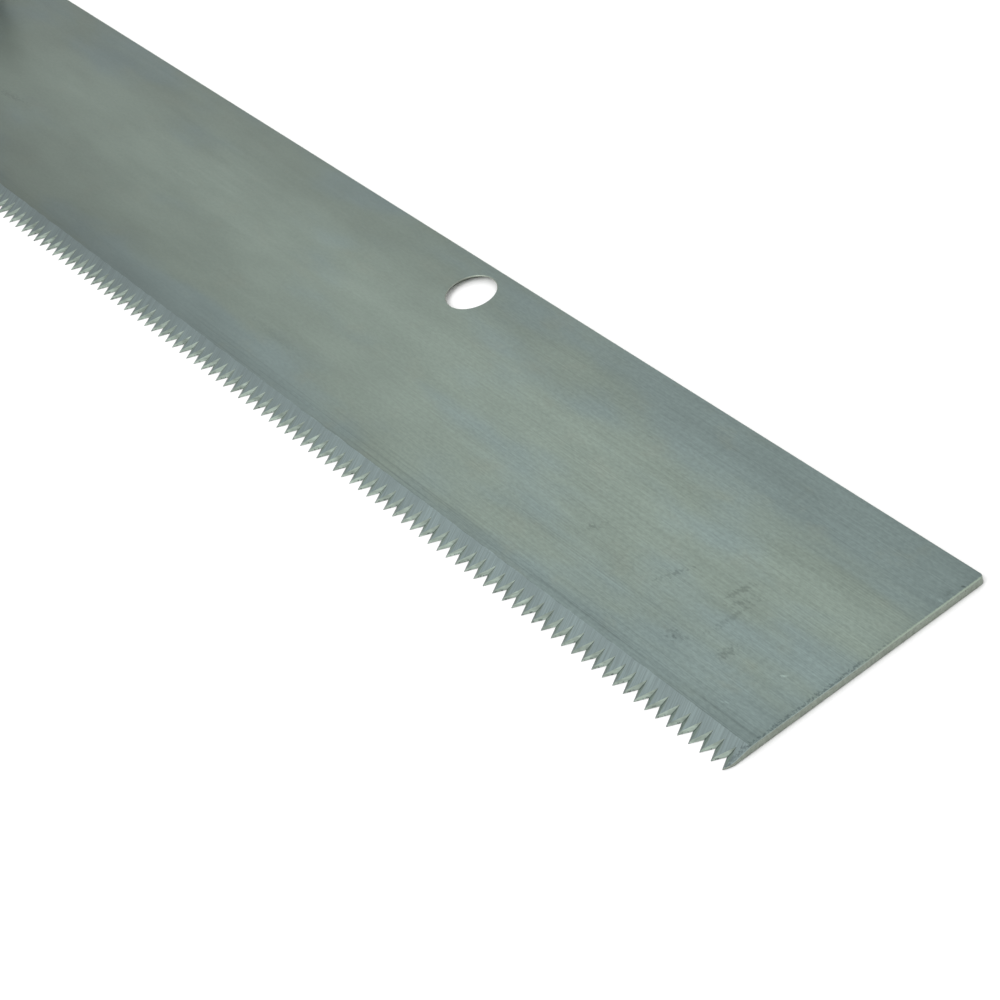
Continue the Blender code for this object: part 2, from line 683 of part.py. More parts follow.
def main():
    clear_scene()
    parts = new_collection("trim_saw")
    cutters = new_collection("cutters")
    steel = make_material("blade_steel", (0.24, 0.29, 0.28), 1.0, 0.38)
    enamel = make_material("carrier_enamel", (0.035, 0.045, 0.045), 0.0, 0.4)
    zinc = make_material("zinc_plate", (0.55, 0.56, 0.55), 1.0, 0.32)
    forged = make_material("forged_steel", (0.10, 0.10, 0.11), 1.0, 0.48)
    brass = make_material("brass", (0.62, 0.42, 0.16), 1.0, 0.28)
    beech = make_material("beech", (0.50, 0.29, 0.13), 0.0, 0.42)
    make_blade(parts, cutters, steel)
    make_carrier(parts, cutters, enamel)
    make_clamp_bolt(parts, cutters, zinc)
    make_washer(parts, zinc)
    make_wing_nut(parts, cutters, zinc)
    make_tang(parts, cutters, forged)
    for i, distance in enumerate(RIVET_STATIONS):
        make_rivet("tang_rivet_%d" % (i + 1), distance, parts, zinc)
    make_ferrule(parts, cutters, brass)
    make_ferrule_pin(parts, zinc)
    make_handle(parts, cutters, beech)
    make_butt_washer(parts, brass)
    make_butt_nut(parts, cutters, brass)


main()
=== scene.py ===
"""Looks of the flush-cutting trim saw: detailed pieces, procedural materials, floor, lights and camera.

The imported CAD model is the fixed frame. Every size here is in metres, in that frame:
+X to the toe of the blade, +Y to its back edge, +Z up, and z = 0 under the blade.
"""

import math

import bmesh
import bpy
from mathutils import Matrix, Quaternion, Vector


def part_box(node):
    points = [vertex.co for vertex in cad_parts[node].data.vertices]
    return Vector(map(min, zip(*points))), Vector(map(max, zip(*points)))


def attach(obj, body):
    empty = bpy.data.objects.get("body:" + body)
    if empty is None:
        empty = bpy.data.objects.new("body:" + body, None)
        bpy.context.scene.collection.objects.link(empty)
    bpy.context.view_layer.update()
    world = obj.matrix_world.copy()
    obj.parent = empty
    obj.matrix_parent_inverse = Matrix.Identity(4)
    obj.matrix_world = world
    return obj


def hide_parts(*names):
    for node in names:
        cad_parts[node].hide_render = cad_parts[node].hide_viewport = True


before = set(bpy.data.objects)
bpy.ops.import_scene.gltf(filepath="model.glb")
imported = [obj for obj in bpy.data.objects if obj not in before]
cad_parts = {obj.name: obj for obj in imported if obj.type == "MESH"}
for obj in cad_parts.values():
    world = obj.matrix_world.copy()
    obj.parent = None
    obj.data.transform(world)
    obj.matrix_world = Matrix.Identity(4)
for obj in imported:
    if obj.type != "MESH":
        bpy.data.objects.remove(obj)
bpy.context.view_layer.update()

MM = 0.001
GAP = 0.3 * MM  # between pieces that touch in the real saw
ROD_GAP = 0.1 * MM  # around rods and rivets that are a tight fit

# Blade
TOOTH_PITCH = 25.4 * MM / 11
TOE_OVERHANG = 0.3 * TOOTH_PITCH
TOE_NOSE_ANGLE = 40  # degrees of arc from the first tip into the toe edge
GULLET_DEPTH = 0.8 * TOOTH_PITCH
GULLET_ROOT = 0.54  # of a pitch, from tip to root
GULLET_LEAN = Vector((0.32, 1.95))  # X and Y for each unit of Z
GROUND_STRIP = 4.5 * MM  # width of the strip ground down along the teeth
TIP_THICKNESS = 0.2 * MM
CORNER_RADIUS = 0.9 * MM
BLADE_EDGE_BREAK = 0.08 * MM
HOLE_RADIUS = 4.1 * MM
HOLE_MOUTH_RADIUS = 5.0 * MM
HOLE_FROM_END = 110 * MM
HOLE_FROM_BACK = 6 * MM
HOLE_EDGE_BREAK = 0.12 * MM
CUT_REACH = 2 * MM  # of a cutting tool, past the faces that it cuts

BLADE_LOW, BLADE_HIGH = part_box("blade")
TOE_X, HEEL_X = BLADE_HIGH.x, BLADE_LOW.x
TIP_Y, BACK_Y = BLADE_LOW.y, BLADE_HIGH.y
BLADE_Z = BLADE_HIGH.z

# Clamp and carrier
CARRIER_LOW, CARRIER_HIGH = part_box("carrier_plate")
CARRIER_THICKNESS = 2.5 * MM
CARRIER_CORNER = 4 * MM
CARRIER_EDGE_BREAK = 0.45 * MM
LIP_END_INSET = 5 * MM  # the heel lip stops short of the plate's long edges
CARRIER_SHOULDER_X = TOE_X - 336 * MM
BACK_LIP_X = (TOE_X - 392 * MM, TOE_X - 298 * MM)
BOLT_LOW, BOLT_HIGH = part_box("clamp_bolt")
BOLT_AXIS = (BOLT_LOW + BOLT_HIGH) / 2
BOLT_RADIUS = 3.0 * MM
THREAD_PITCH = 1.0 * MM
THREAD_DEPTH = 0.55 * MM
THREAD_CHAMFER = 0.8 * MM
SOCKET_RADIUS = 1.8 * MM  # of the circle through the hexagon's corners
SOCKET_DEPTH = 1.4 * MM
NUT_LOW, NUT_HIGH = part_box("wing_nut")
NUT_BODY_HEIGHT = 9 * MM
NUT_TOP_RADIUS = 4.6 * MM
WING_TIP_RADIUS = 4.6 * MM
WING_HALF_THICKNESS = 1.3 * MM
SLIDING_GAP = 0.08 * MM  # bore to thread crests, so that the nut turns freely

# Tang and handle
TANG_LOW, TANG_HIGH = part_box("tang")
TANG_THICKNESS = 5 * MM
TANG_HALF_WIDTH = 7 * MM
TANG_TAPER = 0.22  # share of the width lost between crank and bolster
TANG_ROD_RADIUS = 4 * MM
TANG_BEND_RADIUS = 9 * MM
CRANK_START_X = BACK_LIP_X[0]
CRANK_ANGLE = math.radians(50)
RIVET_RADIUS = 2.5 * MM
RIVET_SINK = 1.2 * MM
RIVET_HEAD_HEIGHT = 2.4 * MM
FERRULE_LOW, FERRULE_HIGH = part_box("ferrule")
FERRULE_RADIUS = (FERRULE_HIGH.y - FERRULE_LOW.y) / 2
FERRULE_WALL = 1.2 * MM
HANDLE_AXIS_Z = (FERRULE_LOW.z + FERRULE_HIGH.z) / 2
HANDLE_FRONT_X = FERRULE_HIGH.x
HANDLE_LENGTH = HANDLE_FRONT_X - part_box("handle")[0].x
HANDLE_RADIUS = 17 * MM
SHOULDER = FERRULE_HIGH.x - FERRULE_LOW.x + GAP
SCORE_WIDTH = 0.45 * MM
SCORE_DEPTH = 0.35 * MM
PIN_RADIUS = 1.0 * MM
BUTT_NUT_FLATS = 13 * MM
DOME_RADIUS = 5.6 * MM
DOME_HEIGHT = 4 * MM
GROWTH_RING = 1.9 * MM
PITH = (0, -21 * MM, HANDLE_AXIS_Z - 13 * MM)

# Handle outline in millimetres: from its shoulder behind the ferrule, and radius
HANDLE_STATIONS = ((0, 12.4), (2, 13.6), (5, 13.4), (9, 12.2), (18, 12.6), (36, 15.2), (58, 17.0),
                   (78, 16.4), (90, 14.8))

# Camera: at the photograph's viewing angle
CAMERA_PLACE = Vector((0.52508, -0.14417, 0.26152))
CAMERA_FORWARD = Vector((-0.7177, 0.3158, -0.6206))
CAMERA_ROLL = math.radians(-18.7)
CAMERA_LENS = 107.4
CAMERA_SENSOR = 36.0

FLOOR_GAP = 0.05 * MM  # keeps the floor clear of the blade

# Colours of the blade
BODY_GREEN = (0.166, 0.206, 0.178)
BODY_BLUE = (0.158, 0.204, 0.196)
BODY_TAN = (0.176, 0.206, 0.174)
STRIP_GREY = (0.197, 0.247, 0.246)
OLIVE = (0.150, 0.175, 0.120)
RUBBED = (0.225, 0.270, 0.215)
PITTED = (0.030, 0.043, 0.045)
# painted highlight along the burr at the toe
PAINTED_BURR_HIGHLIGHT = (0.400, 0.470, 0.430)
# painted light and painted shade on the two sides of each gullet
PAINTED_LIT_FLANK = (0.335, 0.405, 0.352)
PAINTED_SHADE_FLANK_DEEP = (0.040, 0.050, 0.053)
PAINTED_SHADE_FLANK = (0.135, 0.165, 0.160)
EDGE_TAN = (0.270, 0.304, 0.262)
CROSS_GRIND = math.radians(-28)  # the strip's grinding lines stand this far off square to its length


# Mesh helpers

def new_object(name, mesh):
    obj = bpy.data.objects.new(name, mesh)
    bpy.context.scene.collection.objects.link(obj)
    return obj


def baked(obj):
    """The object with its modifiers applied and its mesh in frame coordinates."""
    bpy.context.view_layer.update()
    evaluated = obj.evaluated_get(bpy.context.evaluated_depsgraph_get())
    mesh = bpy.data.meshes.new_from_object(evaluated)
    mesh.transform(obj.matrix_world)
    name = obj.name
    bpy.data.objects.remove(obj, do_unlink=True)
    mesh.name = name
    return new_object(name, mesh)


def mesh_from(bm, name):
    bmesh.ops.recalc_face_normals(bm, faces=bm.faces)
    mesh = bpy.data.meshes.new(name)
    bm.to_mesh(mesh)
    bm.free()
    return mesh


def arc(centre, radius, start, end, steps):
    points = []
    for i in range(steps + 1):
        angle = math.radians(start + (end - start) * i / steps)
        points.append((centre[0] + radius * math.cos(angle), centre[1] + radius * math.sin(angle)))
    return points


def outline_mesh(name, outline, low, high):
    """A flat XY outline as a solid between two heights."""
    bm = bmesh.new()
    bottom = bm.faces.new([bm.verts.new((x, y, low)) for x, y in outline])
    grown = bmesh.ops.extrude_face_region(bm, geom=[bottom])["geom"]
    top = [v for v in grown if isinstance(v, bmesh.types.BMVert)]
    bmesh.ops.translate(bm, verts=top, vec=(0, 0, high - low))
    return mesh_from(bm, name)


def upright(mesh):
    """Turn an outline drawn in XY so that its Y becomes Z."""
    mesh.transform(Matrix.Rotation(math.pi / 2, 4, "X"))
    return mesh


def box_mesh(name, low, high):
    bm = bmesh.new()
    bmesh.ops.create_cube(bm, size=1)
    size, middle = Vector(high) - Vector(low), (Vector(high) + Vector(low)) / 2
    bmesh.ops.transform(bm, verts=bm.verts, matrix=Matrix.Translation(middle) @ Matrix.Diagonal((*size, 1)))
    return mesh_from(bm, name)


def cylinder_mesh(name, radius, low, high, steps=96, top_radius=None):
    bm = bmesh.new()
    end_radius = radius if top_radius is None else top_radius
    bmesh.ops.create_cone(bm, cap_ends=True, segments=steps, radius1=radius, radius2=end_radius,
                          depth=high - low, matrix=Matrix.Translation((0, 0, (high + low) / 2)))
    return mesh_from(bm, name)


def at(mesh, place=(0, 0, 0)):
    """An object of this mesh at a place, for use as a cutter or an addition."""
    obj = new_object(mesh.name, mesh)
    obj.location = place
    return obj


def cut(obj, cutters, operation="DIFFERENCE"):
    """Apply Boolean cutters one by one and remove them."""
    for cutter in cutters:
        modifier = obj.modifiers.new("cut", "BOOLEAN")
        modifier.operation = operation
        modifier.object = cutter
    result = baked(obj)
    for cutter in cutters:
        bpy.data.objects.remove(cutter, do_unlink=True)
    return result


def rounded(corners, closed=False, steps=5):
    """A profile of (radius, height, corner radius) with its corners turned into curves."""
    count = len(corners)
    points = []
    for i, (x, y, bend) in enumerate(corners):
        here = Vector((x, y))
        if bend == 0 or (not closed and i in (0, count - 1)):
            points.append((x, y))
            continue
        before = (Vector(corners[i - 1][:2]) - here).normalized()
        after = (Vector(corners[(i + 1) % count][:2]) - here).normalized()
        reach = bend / math.tan(before.angle(after) / 2)
        start, end = here + before * reach, here + after * reach
        for j in range(steps + 1):
            t = j / steps
            points.append(tuple(start * (1 - t) ** 2 + here * 2 * t * (1 - t) + end * t ** 2))
    return points


def turned(name, profile, steps=96, closed=False):
    """Turn (radius, height) points, listed top to bottom, about local Z."""
    mesh = bpy.data.meshes.new(name)
    edges = [(i, i + 1) for i in range(len(profile) - 1)]
    if closed:
        edges.append((len(profile) - 1, 0))
    mesh.from_pydata([(radius, 0, height) for radius, height in profile], edges, [])
    obj = new_object(name, mesh)
    screw = obj.modifiers.new("turn", "SCREW")
    screw.steps = steps
    screw.render_steps = steps
    screw.use_merge_vertices = True
    screw.merge_threshold = 1e-6
    return obj


def along_handle(obj):
    """Local Z comes to lie along the saw, towards the toe, from the front of the handle."""
    obj.rotation_euler = (0, math.pi / 2, 0)
    obj.location = (HANDLE_FRONT_X, 0, HANDLE_AXIS_Z)
    return baked(obj)


def forged(obj, voxel, rounds):
    """Blend joined shapes into one soft-edged body, as forging or casting does."""
    remesh = obj.modifiers.new("skin", "REMESH")
    remesh.mode = "VOXEL"
    remesh.voxel_size = voxel
    ease = obj.modifiers.new("ease", "SMOOTH")
    ease.factor = 0.5
    ease.iterations = rounds
    return baked(obj)


def edge_break(obj, width, segments=3):
    bevel = obj.modifiers.new("edges", "BEVEL")
    bevel.width = width
    bevel.segments = segments
    bevel.limit_method = "ANGLE"
    bevel.angle_limit = math.radians(40)
    return baked(obj)


def smooth(obj, degrees=35):
    obj.data.shade_smooth()
    obj.data.set_sharp_from_angle(angle=math.radians(degrees))


def finish_piece(obj, body, node, material_slot, *materials):
    obj.data.materials.clear()
    for material in materials:
        obj.data.materials.append(material)
    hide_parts(node)
    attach(obj, body)


# Material helpers

class Surface:
    """A Principled material and short names for the nodes that feed it."""

    def __init__(self, name, metallic=0.0, roughness=0.5, colour=(0.5, 0.5, 0.5), **sockets):
        self.material = bpy.data.materials.new(name)
        self.material.use_nodes = True
        self.tree = self.material.node_tree
        self.shader = self.tree.nodes["Principled BSDF"]
        self.shader.inputs["Metallic"].default_value = metallic
        self.shader.inputs["Roughness"].default_value = roughness
        self.shader.inputs["Base Color"].default_value = (*colour, 1)
        for socket, value in sockets.items():
            self.shader.inputs[socket.replace("_", " ")].default_value = value
        self.place = self.node("TexCoord").outputs["Object"]

    def node(self, kind):
        return self.tree.nodes.new("ShaderNode" + kind)

    def set_input(self, socket, value):
        if isinstance(value, bpy.types.NodeSocket):
            self.tree.links.new(value, socket)
        elif isinstance(value, tuple) and len(value) == 3 and len(socket.default_value) == 4:
            socket.default_value = (*value, 1)
        else:
            socket.default_value = value

    def vector_math(self, operation, a, b=None, scale=None):
        node = self.node("VectorMath")
        node.operation = operation
        self.set_input(node.inputs[0], a)
        if b is not None:
            self.set_input(node.inputs[1], b)
        if scale is not None:
            self.set_input(node.inputs["Scale"], scale)
        return node

    def mapped(self, scale, move=(0, 0, 0), turn=0):
        """The object's own coordinates, moved, then turned about Z and scaled."""
        shift = self.vector_math("SUBTRACT", self.place, move)
        spin = self.node("Mapping")
        self.tree.links.new(shift.outputs[0], spin.inputs["Vector"])
        spin.inputs["Rotation"].default_value = (0, 0, turn)
        return self.vector_math("MULTIPLY", spin.outputs[0], scale).outputs[0]

    def noise(self, scale, detail=2, rough=0.5, move=(0, 0, 0), turn=0):
        """Noise about 0.5 with this many lumps a metre, in all directions or along X, Y and Z."""
        if not isinstance(scale, tuple):
            scale = (scale, scale, scale)
        vector = self.mapped(scale, move, turn)
        node = self.node("TexNoise")
        self.tree.links.new(vector, node.inputs["Vector"])
        node.inputs["Scale"].default_value = 1.0
        node.inputs["Detail"].default_value = detail
        node.inputs["Roughness"].default_value = rough
        return node.outputs["Fac"]

    def math(self, operation, a, b=0.0, c=0.0):
        node = self.node("Math")
        node.operation = operation
        for socket, value in zip(node.inputs, (a, b, c)):
            self.set_input(socket, value)
        return node.outputs[0]

    def product(self, first, *others):
        for other in others:
            first = self.math("MULTIPLY", first, other)
        return first

    def minus(self, a, b):
        return self.math("SUBTRACT", a, b)

    def fade(self, value, low, high, out_low=0.0, out_high=1.0):
        """Value from low to high becomes out_low to out_high, smoothly, and is held outside."""
        node = self.node("MapRange")
        node.interpolation_type = "SMOOTHSTEP"
        for name, given in (("Value", value), ("From Min", low), ("From Max", high),
                            ("To Min", out_low), ("To Max", out_high)):
            self.set_input(node.inputs[name], given)
        return node.outputs["Result"]

    def band(self, value, low, high, soft):
        """1 between low and high, fading to 0 over the soft distance outside."""
        return self.product(self.fade(value, low - soft, low), self.fade(value, high + soft, high))

    def swing(self, value, amount):
        """Noise about 0.5 becomes a factor about 1, off by up to the amount."""
        return self.fade(value, 0.25, 0.75, 1 - amount, 1 + amount)

    def axis(self, name):
        node = self.node("SeparateXYZ")
        self.tree.links.new(self.place, node.inputs[0])
        return node.outputs[name]

    def blend(self, share, a, b):
        """The colour a where the share is 0, and b where it is 1."""
        node = self.node("Mix")
        node.data_type = "RGBA"  # colour sockets: inputs 6 and 7, output 2
        self.set_input(node.inputs[0], share)
        self.set_input(node.inputs[6], a)
        self.set_input(node.inputs[7], b)
        return node.outputs[2]

    def shaded(self, colour, factor):
        """A colour made lighter or darker by a factor."""
        return self.vector_math("SCALE", colour, scale=factor).outputs[0]

    def edge_wear(self, radius, rag):
        """1 along outer edges, broken up by noise, 0 on flat faces."""
        bevel = self.node("Bevel")
        bevel.samples = 6
        bevel.inputs["Radius"].default_value = radius
        plain = self.node("NewGeometry").outputs["Normal"]
        bend = self.vector_math("DOT_PRODUCT", bevel.outputs[0], plain).outputs["Value"]
        worn = self.minus(1.0, bend)
        return self.fade(self.math("MULTIPLY_ADD", rag, 0.16, worn), 0.11, 0.17)

    def colour(self, value):
        self.set_input(self.shader.inputs["Base Color"], value)

    def metallic(self, value):
        self.set_input(self.shader.inputs["Metallic"], value)

    def roughness(self, noise, low, high):
        """Roughness goes from low to high with the noise."""
        self.set_input(self.shader.inputs["Roughness"], self.fade(noise, 0.3, 0.7, low, high))

    def bump(self, height, depth, strength=1.0):
        """Height from 0 to 1 stands for this depth in metres."""
        node = self.node("Bump")
        node.inputs["Strength"].default_value = strength
        node.inputs["Distance"].default_value = depth
        self.tree.links.new(height, node.inputs["Height"])
        self.tree.links.new(node.outputs[0], self.shader.inputs["Normal"])


# Blade

def tooth_gap_outline():
    count = int((TOE_X - HEEL_X) / TOOTH_PITCH) + 2
    first_tip = TOE_X - TOE_OVERHANG
    points = []
    for i in range(count):
        tip_x = first_tip - i * TOOTH_PITCH
        points.append((tip_x, TIP_Y))
        points.append((tip_x - GULLET_ROOT * TOOTH_PITCH, TIP_Y + GULLET_DEPTH))
    outside = TIP_Y - 3 * CUT_REACH
    points.append((points[-1][0], outside))
    points.append((points[0][0], outside))
    return points


def tooth_gaps():
    """The toothed strip to cut away, leaning up, back and towards the toe."""
    mesh = outline_mesh("tooth_gaps", tooth_gap_outline(), -CUT_REACH, CUT_REACH)
    lean = Matrix.Identity(4)
    lean[0][2], lean[1][2] = GULLET_LEAN
    mesh.transform(lean)
    return at(mesh)


def blade_hole(x):
    """Straight wall, countersunk from below, with a slightly broken upper edge."""
    reach, edge = CUT_REACH, HOLE_EDGE_BREAK
    sink = HOLE_MOUTH_RADIUS - HOLE_RADIUS
    shapes = (
        cylinder_mesh("wall", HOLE_RADIUS, -reach, BLADE_Z + reach),
        cylinder_mesh("mouth", HOLE_MOUTH_RADIUS + reach, -reach, sink, top_radius=HOLE_RADIUS),
        cylinder_mesh("rim", HOLE_RADIUS, BLADE_Z - edge, BLADE_Z + reach,
                      top_radius=HOLE_RADIUS + reach + edge),
    )
    return [at(mesh, (x, BACK_Y - HOLE_FROM_BACK, 0)) for mesh in shapes]


def slope_ground_strip(mesh):
    """Crease the top face along the strip's edge and let the strip fall to the thin tooth tips."""
    edge_y = TIP_Y + GROUND_STRIP
    fall = (BLADE_Z - TIP_THICKNESS) / GROUND_STRIP
    bm = bmesh.new()
    bm.from_mesh(mesh)
    geometry = bm.verts[:] + bm.edges[:] + bm.faces[:]
    bmesh.ops.bisect_plane(bm, geom=geometry, plane_co=(0, edge_y, 0), plane_no=(0, 1, 0), dist=1e-7)
    for vertex in bm.verts:
        if vertex.co.z > BLADE_Z / 2 and vertex.co.y < edge_y:
            vertex.co.z -= fall * (edge_y - vertex.co.y)
    bm.to_mesh(mesh)
    bm.free()


def blade_outline():
    r = CORNER_RADIUS
    nose = math.radians(TOE_NOSE_ANGLE)
    nose_radius = TOE_OVERHANG / (1 - math.cos(nose))
    nose_centre = (TOE_X - nose_radius, TIP_Y + nose_radius * math.sin(nose))
    outline = arc((TOE_X - r, BACK_Y - r), r, 0, 90, 10)
    outline += arc((HEEL_X + r, BACK_Y - r), r, 90, 180, 10)
    outline += arc((HEEL_X + r, TIP_Y + r), r, 180, 270, 10)
    outline += arc(nose_centre, nose_radius, -TOE_NOSE_ANGLE, 0, 12)
    return outline


def sort_blade_faces(blade):
    """Flat faces are brushed (0), gullet flanks filed (1), and the other edges sheared (2)."""
    for face in blade.data.polygons:
        if abs(face.normal.z) > 0.9:
            continue
        among_teeth = face.center.y < TIP_Y + GULLET_DEPTH + GULLET_LEAN.y * BLADE_Z
        inside_ends = HEEL_X + TOE_OVERHANG < face.center.x < TOE_X - TOE_OVERHANG
        filed = among_teeth and inside_ends and face.normal.z > 0.3
        face.material_index = 1 if filed else 2


def make_blade():
    plate = at(outline_mesh("blade_detail", blade_outline(), 0, BLADE_Z))
    plate = edge_break(plate, BLADE_EDGE_BREAK)
    slope_ground_strip(plate.data)
    cutters = [tooth_gaps()]
    for x in (TOE_X - HOLE_FROM_END, HEEL_X + HOLE_FROM_END):
        cutters += blade_hole(x)
    blade = cut(plate, cutters)
    finish_piece(blade, "saw", "blade", "blade_steel", blade_steel(), filed_flank(), sheared_edge())
    sort_blade_faces(blade)


# Marks on the blade, in millimetres: from the toe, from the tooth tips, half length, half width,
# angle to the length in degrees, and how dark (less than 1) or light (more than 1) it leaves the steel
BLADE_MARKS = (
    (33.2, 18.4, 2.8, 0.60, 66, 0.78),
    (23.5, 21.6, 2.8, 0.80, 75, 0.78),
    (21.5, 20.6, 2.5, 0.70, 61, 0.82),
    (20.3, 17.7, 4.6, 0.60, 85, 0.82),
    (23.5, 11.0, 2.2, 1.00, 11, 0.82),
    (23.5, 10.4, 0.6, 0.50, 0, 0.68),
    (15.7, 13.2, 1.9, 1.20, 71, 0.76),
    (49.9, 16.9, 2.2, 0.70, 61, 0.88),
    (50.0, 17.0, 0.8, 0.60, 0, 0.84),
    (25.0, 30.5, 6.0, 2.40, 2, 0.94),
    (40.0, 14.0, 5.0, 1.50, 12, 0.94),
    (6.5, 15.4, 0.6, 0.30, 30, 1.35),
    (8.6, 7.4, 1.6, 0.25, 24, 1.16),
    (0.8, 40.8, 0.5, 0.35, 20, 0.55),
    (1.1, 37.2, 1.1, 0.35, 4, 1.25),
    (1.4, 38.8, 1.0, 0.60, 0, 0.80),
    (128.0, 12.0, 8.0, 0.80, -4, 0.92),
    (236.0, 20.0, 7.0, 0.70, 5, 0.85),
)


def blade_marks(mat):
    """One factor for all the smears and scratches."""
    rag = mat.noise((1300, 2400, 1), 3)
    total = None
    for from_toe, from_tips, length, width, angle, tone in BLADE_MARKS:
        centre = (TOE_X - from_toe * MM, TIP_Y + from_tips * MM, 0)
        scale = (1 / (length * MM), 1 / (width * MM), 0)
        local = mat.mapped(scale, centre, -math.radians(angle))
        reach = mat.vector_math("LENGTH", local).outputs["Value"]
        ragged = mat.math("MULTIPLY_ADD", rag, 4.0, mat.minus(reach, 2.0))
        factor = mat.fade(ragged, 0.1, 1.0, tone, 1.0)
        total = factor if total is None else mat.product(total, factor)
    return total


def blade_place(mat):
    """Distance from the toe and from the line of the tooth tips."""
    from_toe = mat.minus(TOE_X, mat.axis("X"))
    return from_toe, mat.minus(mat.axis("Y"), TIP_Y)


def gullet_phase(mat):
    """Place between two tips, 0 to 1 towards the heel, and depth from the tips, undoing the lean."""
    x, y, z = (mat.axis(name) for name in "XYZ")
    flat_x = mat.minus(x, mat.product(z, GULLET_LEAN.x))
    flat_y = mat.minus(y, mat.product(z, GULLET_LEAN.y))
    teeth = mat.math("DIVIDE", mat.minus(TOE_X - TOE_OVERHANG, flat_x), TOOTH_PITCH)
    return mat.math("FRACT", teeth), mat.minus(flat_y, TIP_Y)


def brushed_body(mat, from_toe, from_tips, lines):
    """Lengthwise brushing, a scored band above the ground strip, and painted shade just above the strip and
    along the back, where the reflected light falls off.
    """
    mottle = mat.noise((45, 160, 1), 4, 0.6, move=(0.3, 0, 0))
    grain = mat.noise((1100, 2600, 1))
    tint = mat.noise((28, 90, 1), 3, move=(0, 0.7, 0))
    middle = mat.product(mat.band(from_tips, 17 * MM, 28 * MM, 12 * MM), 0.15)
    cool = mat.math("ADD", mat.fade(from_toe, 20 * MM, 110 * MM, 0.12, -0.01),
                    mat.fade(from_tips, 11 * MM, 5 * MM, 0, 0.10))
    warm = mat.minus(mat.math("ADD", tint, middle), cool)
    plain = mat.blend(mat.fade(warm, 0.62, 0.38), BODY_GREEN, BODY_BLUE)
    patches = mat.noise((110, 190, 1), 3, 0.6, move=(0.1, 0.2, 0))
    plain = mat.blend(mat.fade(patches, 0.54, 0.72, 0, 0.35), plain, BODY_TAN)
    # painted shade: darker just above the ground strip
    painted_shade_above_strip = mat.product(mat.fade(from_tips, 4.2 * MM, 8.0 * MM, 0.82, 0.93),
                              mat.fade(from_tips, 6 * MM, 18 * MM, 0.94, 0.965))
    # painted shade: darker towards the back edge
    painted_shade_along_back = mat.product(mat.fade(from_tips, 26 * MM, 41 * MM, 0.98, 0.765),
                             mat.fade(from_tips, 41 * MM, 44 * MM, 1.0, 0.96))
    scores = mat.noise((22, 3400, 1), move=(0, 0.5, 0))
    scored = mat.product(mat.fade(scores, 0.54, 0.62),
                         mat.fade(from_tips, 10 * MM, 5 * MM, 0.12, 1))
    contrast = mat.fade(from_toe, 40 * MM, 170 * MM, 1.0, 0.35)
    factor = mat.product(mat.swing(lines, 0.22), mat.swing(grain, 0.09),
                         mat.fade(scored, 0, 1, 1.0, 0.80))
    factor = mat.math("MULTIPLY_ADD", mat.minus(factor, 1.0), contrast, 1.0)
    factor = mat.product(factor, mat.swing(mottle, 0.07), painted_shade_above_strip, painted_shade_along_back)
    return mat.shaded(plain, mat.product(factor, blade_marks(mat)))


def ground_strip(mat, grind):
    """Cooler steel with cross-grinding, and an olive band beside each gullet."""
    broad = mat.noise((160, 40, 1), turn=CROSS_GRIND)
    cool = mat.shaded(STRIP_GREY, mat.product(mat.swing(grind, 0.15), mat.swing(broad, 0.06)))
    phase, depth = gullet_phase(mat)
    edge = mat.product(phase, GULLET_DEPTH / GULLET_ROOT)
    behind_edge = mat.minus(depth, edge)
    on_tooth = mat.fade(depth, GULLET_DEPTH, 0.6 * GULLET_DEPTH)
    # olive band along the tooth edge beside each gullet
    discolour = mat.product(mat.band(behind_edge, -0.2 * MM, 0.05 * MM, 0.2 * MM), on_tooth, 0.45)
    return mat.blend(discolour, cool, OLIVE)


def toe_rim(mat, from_toe, from_tips, colour):
    """The sheared end leaves a line of dark pits, a thin burr with a painted highlight along it, and a
    rubbed band near the back.
    """
    rag = mat.noise((1000, 2700, 1), 4, 0.65)
    wander = mat.noise((0, 420, 1), 3)
    inward = mat.minus(from_toe, mat.product(wander, 0.7 * MM))
    corner = mat.fade(from_tips, 6.5 * MM, 1 * MM, 0, 0.5 * MM)
    reach = mat.math("MULTIPLY_ADD", rag, 3.0 * MM, mat.minus(inward, corner))
    specks = mat.noise((2600, 2600, 1))
    pits = mat.product(mat.fade(reach, 2.05 * MM, 1.6 * MM), mat.fade(specks, 0.40, 0.54),
                       mat.fade(from_toe, 0.08 * MM, 0.25 * MM),
                       mat.fade(from_tips, 34 * MM, 20 * MM, 0.1, 0.55),
                       mat.fade(from_tips, 2 * MM, 7 * MM, 0.6, 1))
    fringe = mat.minus(from_toe, mat.product(rag, 0.55 * MM))
    rubbed = mat.product(mat.fade(fringe, 0.18 * MM, -0.02 * MM),
                         mat.fade(from_tips, 20 * MM, 32 * MM, 0, 0.7))
    darkening = mat.product(mat.band(inward, 0.4 * MM, 1.2 * MM, 1.2 * MM), rag, 0.08)
    colour = mat.shaded(colour, mat.minus(1.0, darkening))
    colour = mat.blend(pits, colour, PITTED)
    # painted highlight: a thin bright line along the burr at the toe edge
    burr_highlight = mat.fade(from_toe, 0.22 * MM, 0.08 * MM, 0, 0.30)
    colour = mat.blend(burr_highlight, colour, PAINTED_BURR_HIGHLIGHT)
    return mat.blend(rubbed, colour, RUBBED)


def painted_far_shade(mat, from_toe, from_tips):
    """Painted shade: the steel is darker away from the toe, most of all beside the teeth, where the
    reflected light falls off.
    """
    amount = mat.product(mat.fade(from_toe, 60 * MM, 215 * MM),
                         mat.fade(from_tips, 4.2 * MM, 4.8 * MM, 0.72, 1.0),
                         mat.fade(from_tips, 2 * MM, 34 * MM, 0.36, 0.12))
    return mat.minus(1.0, amount)


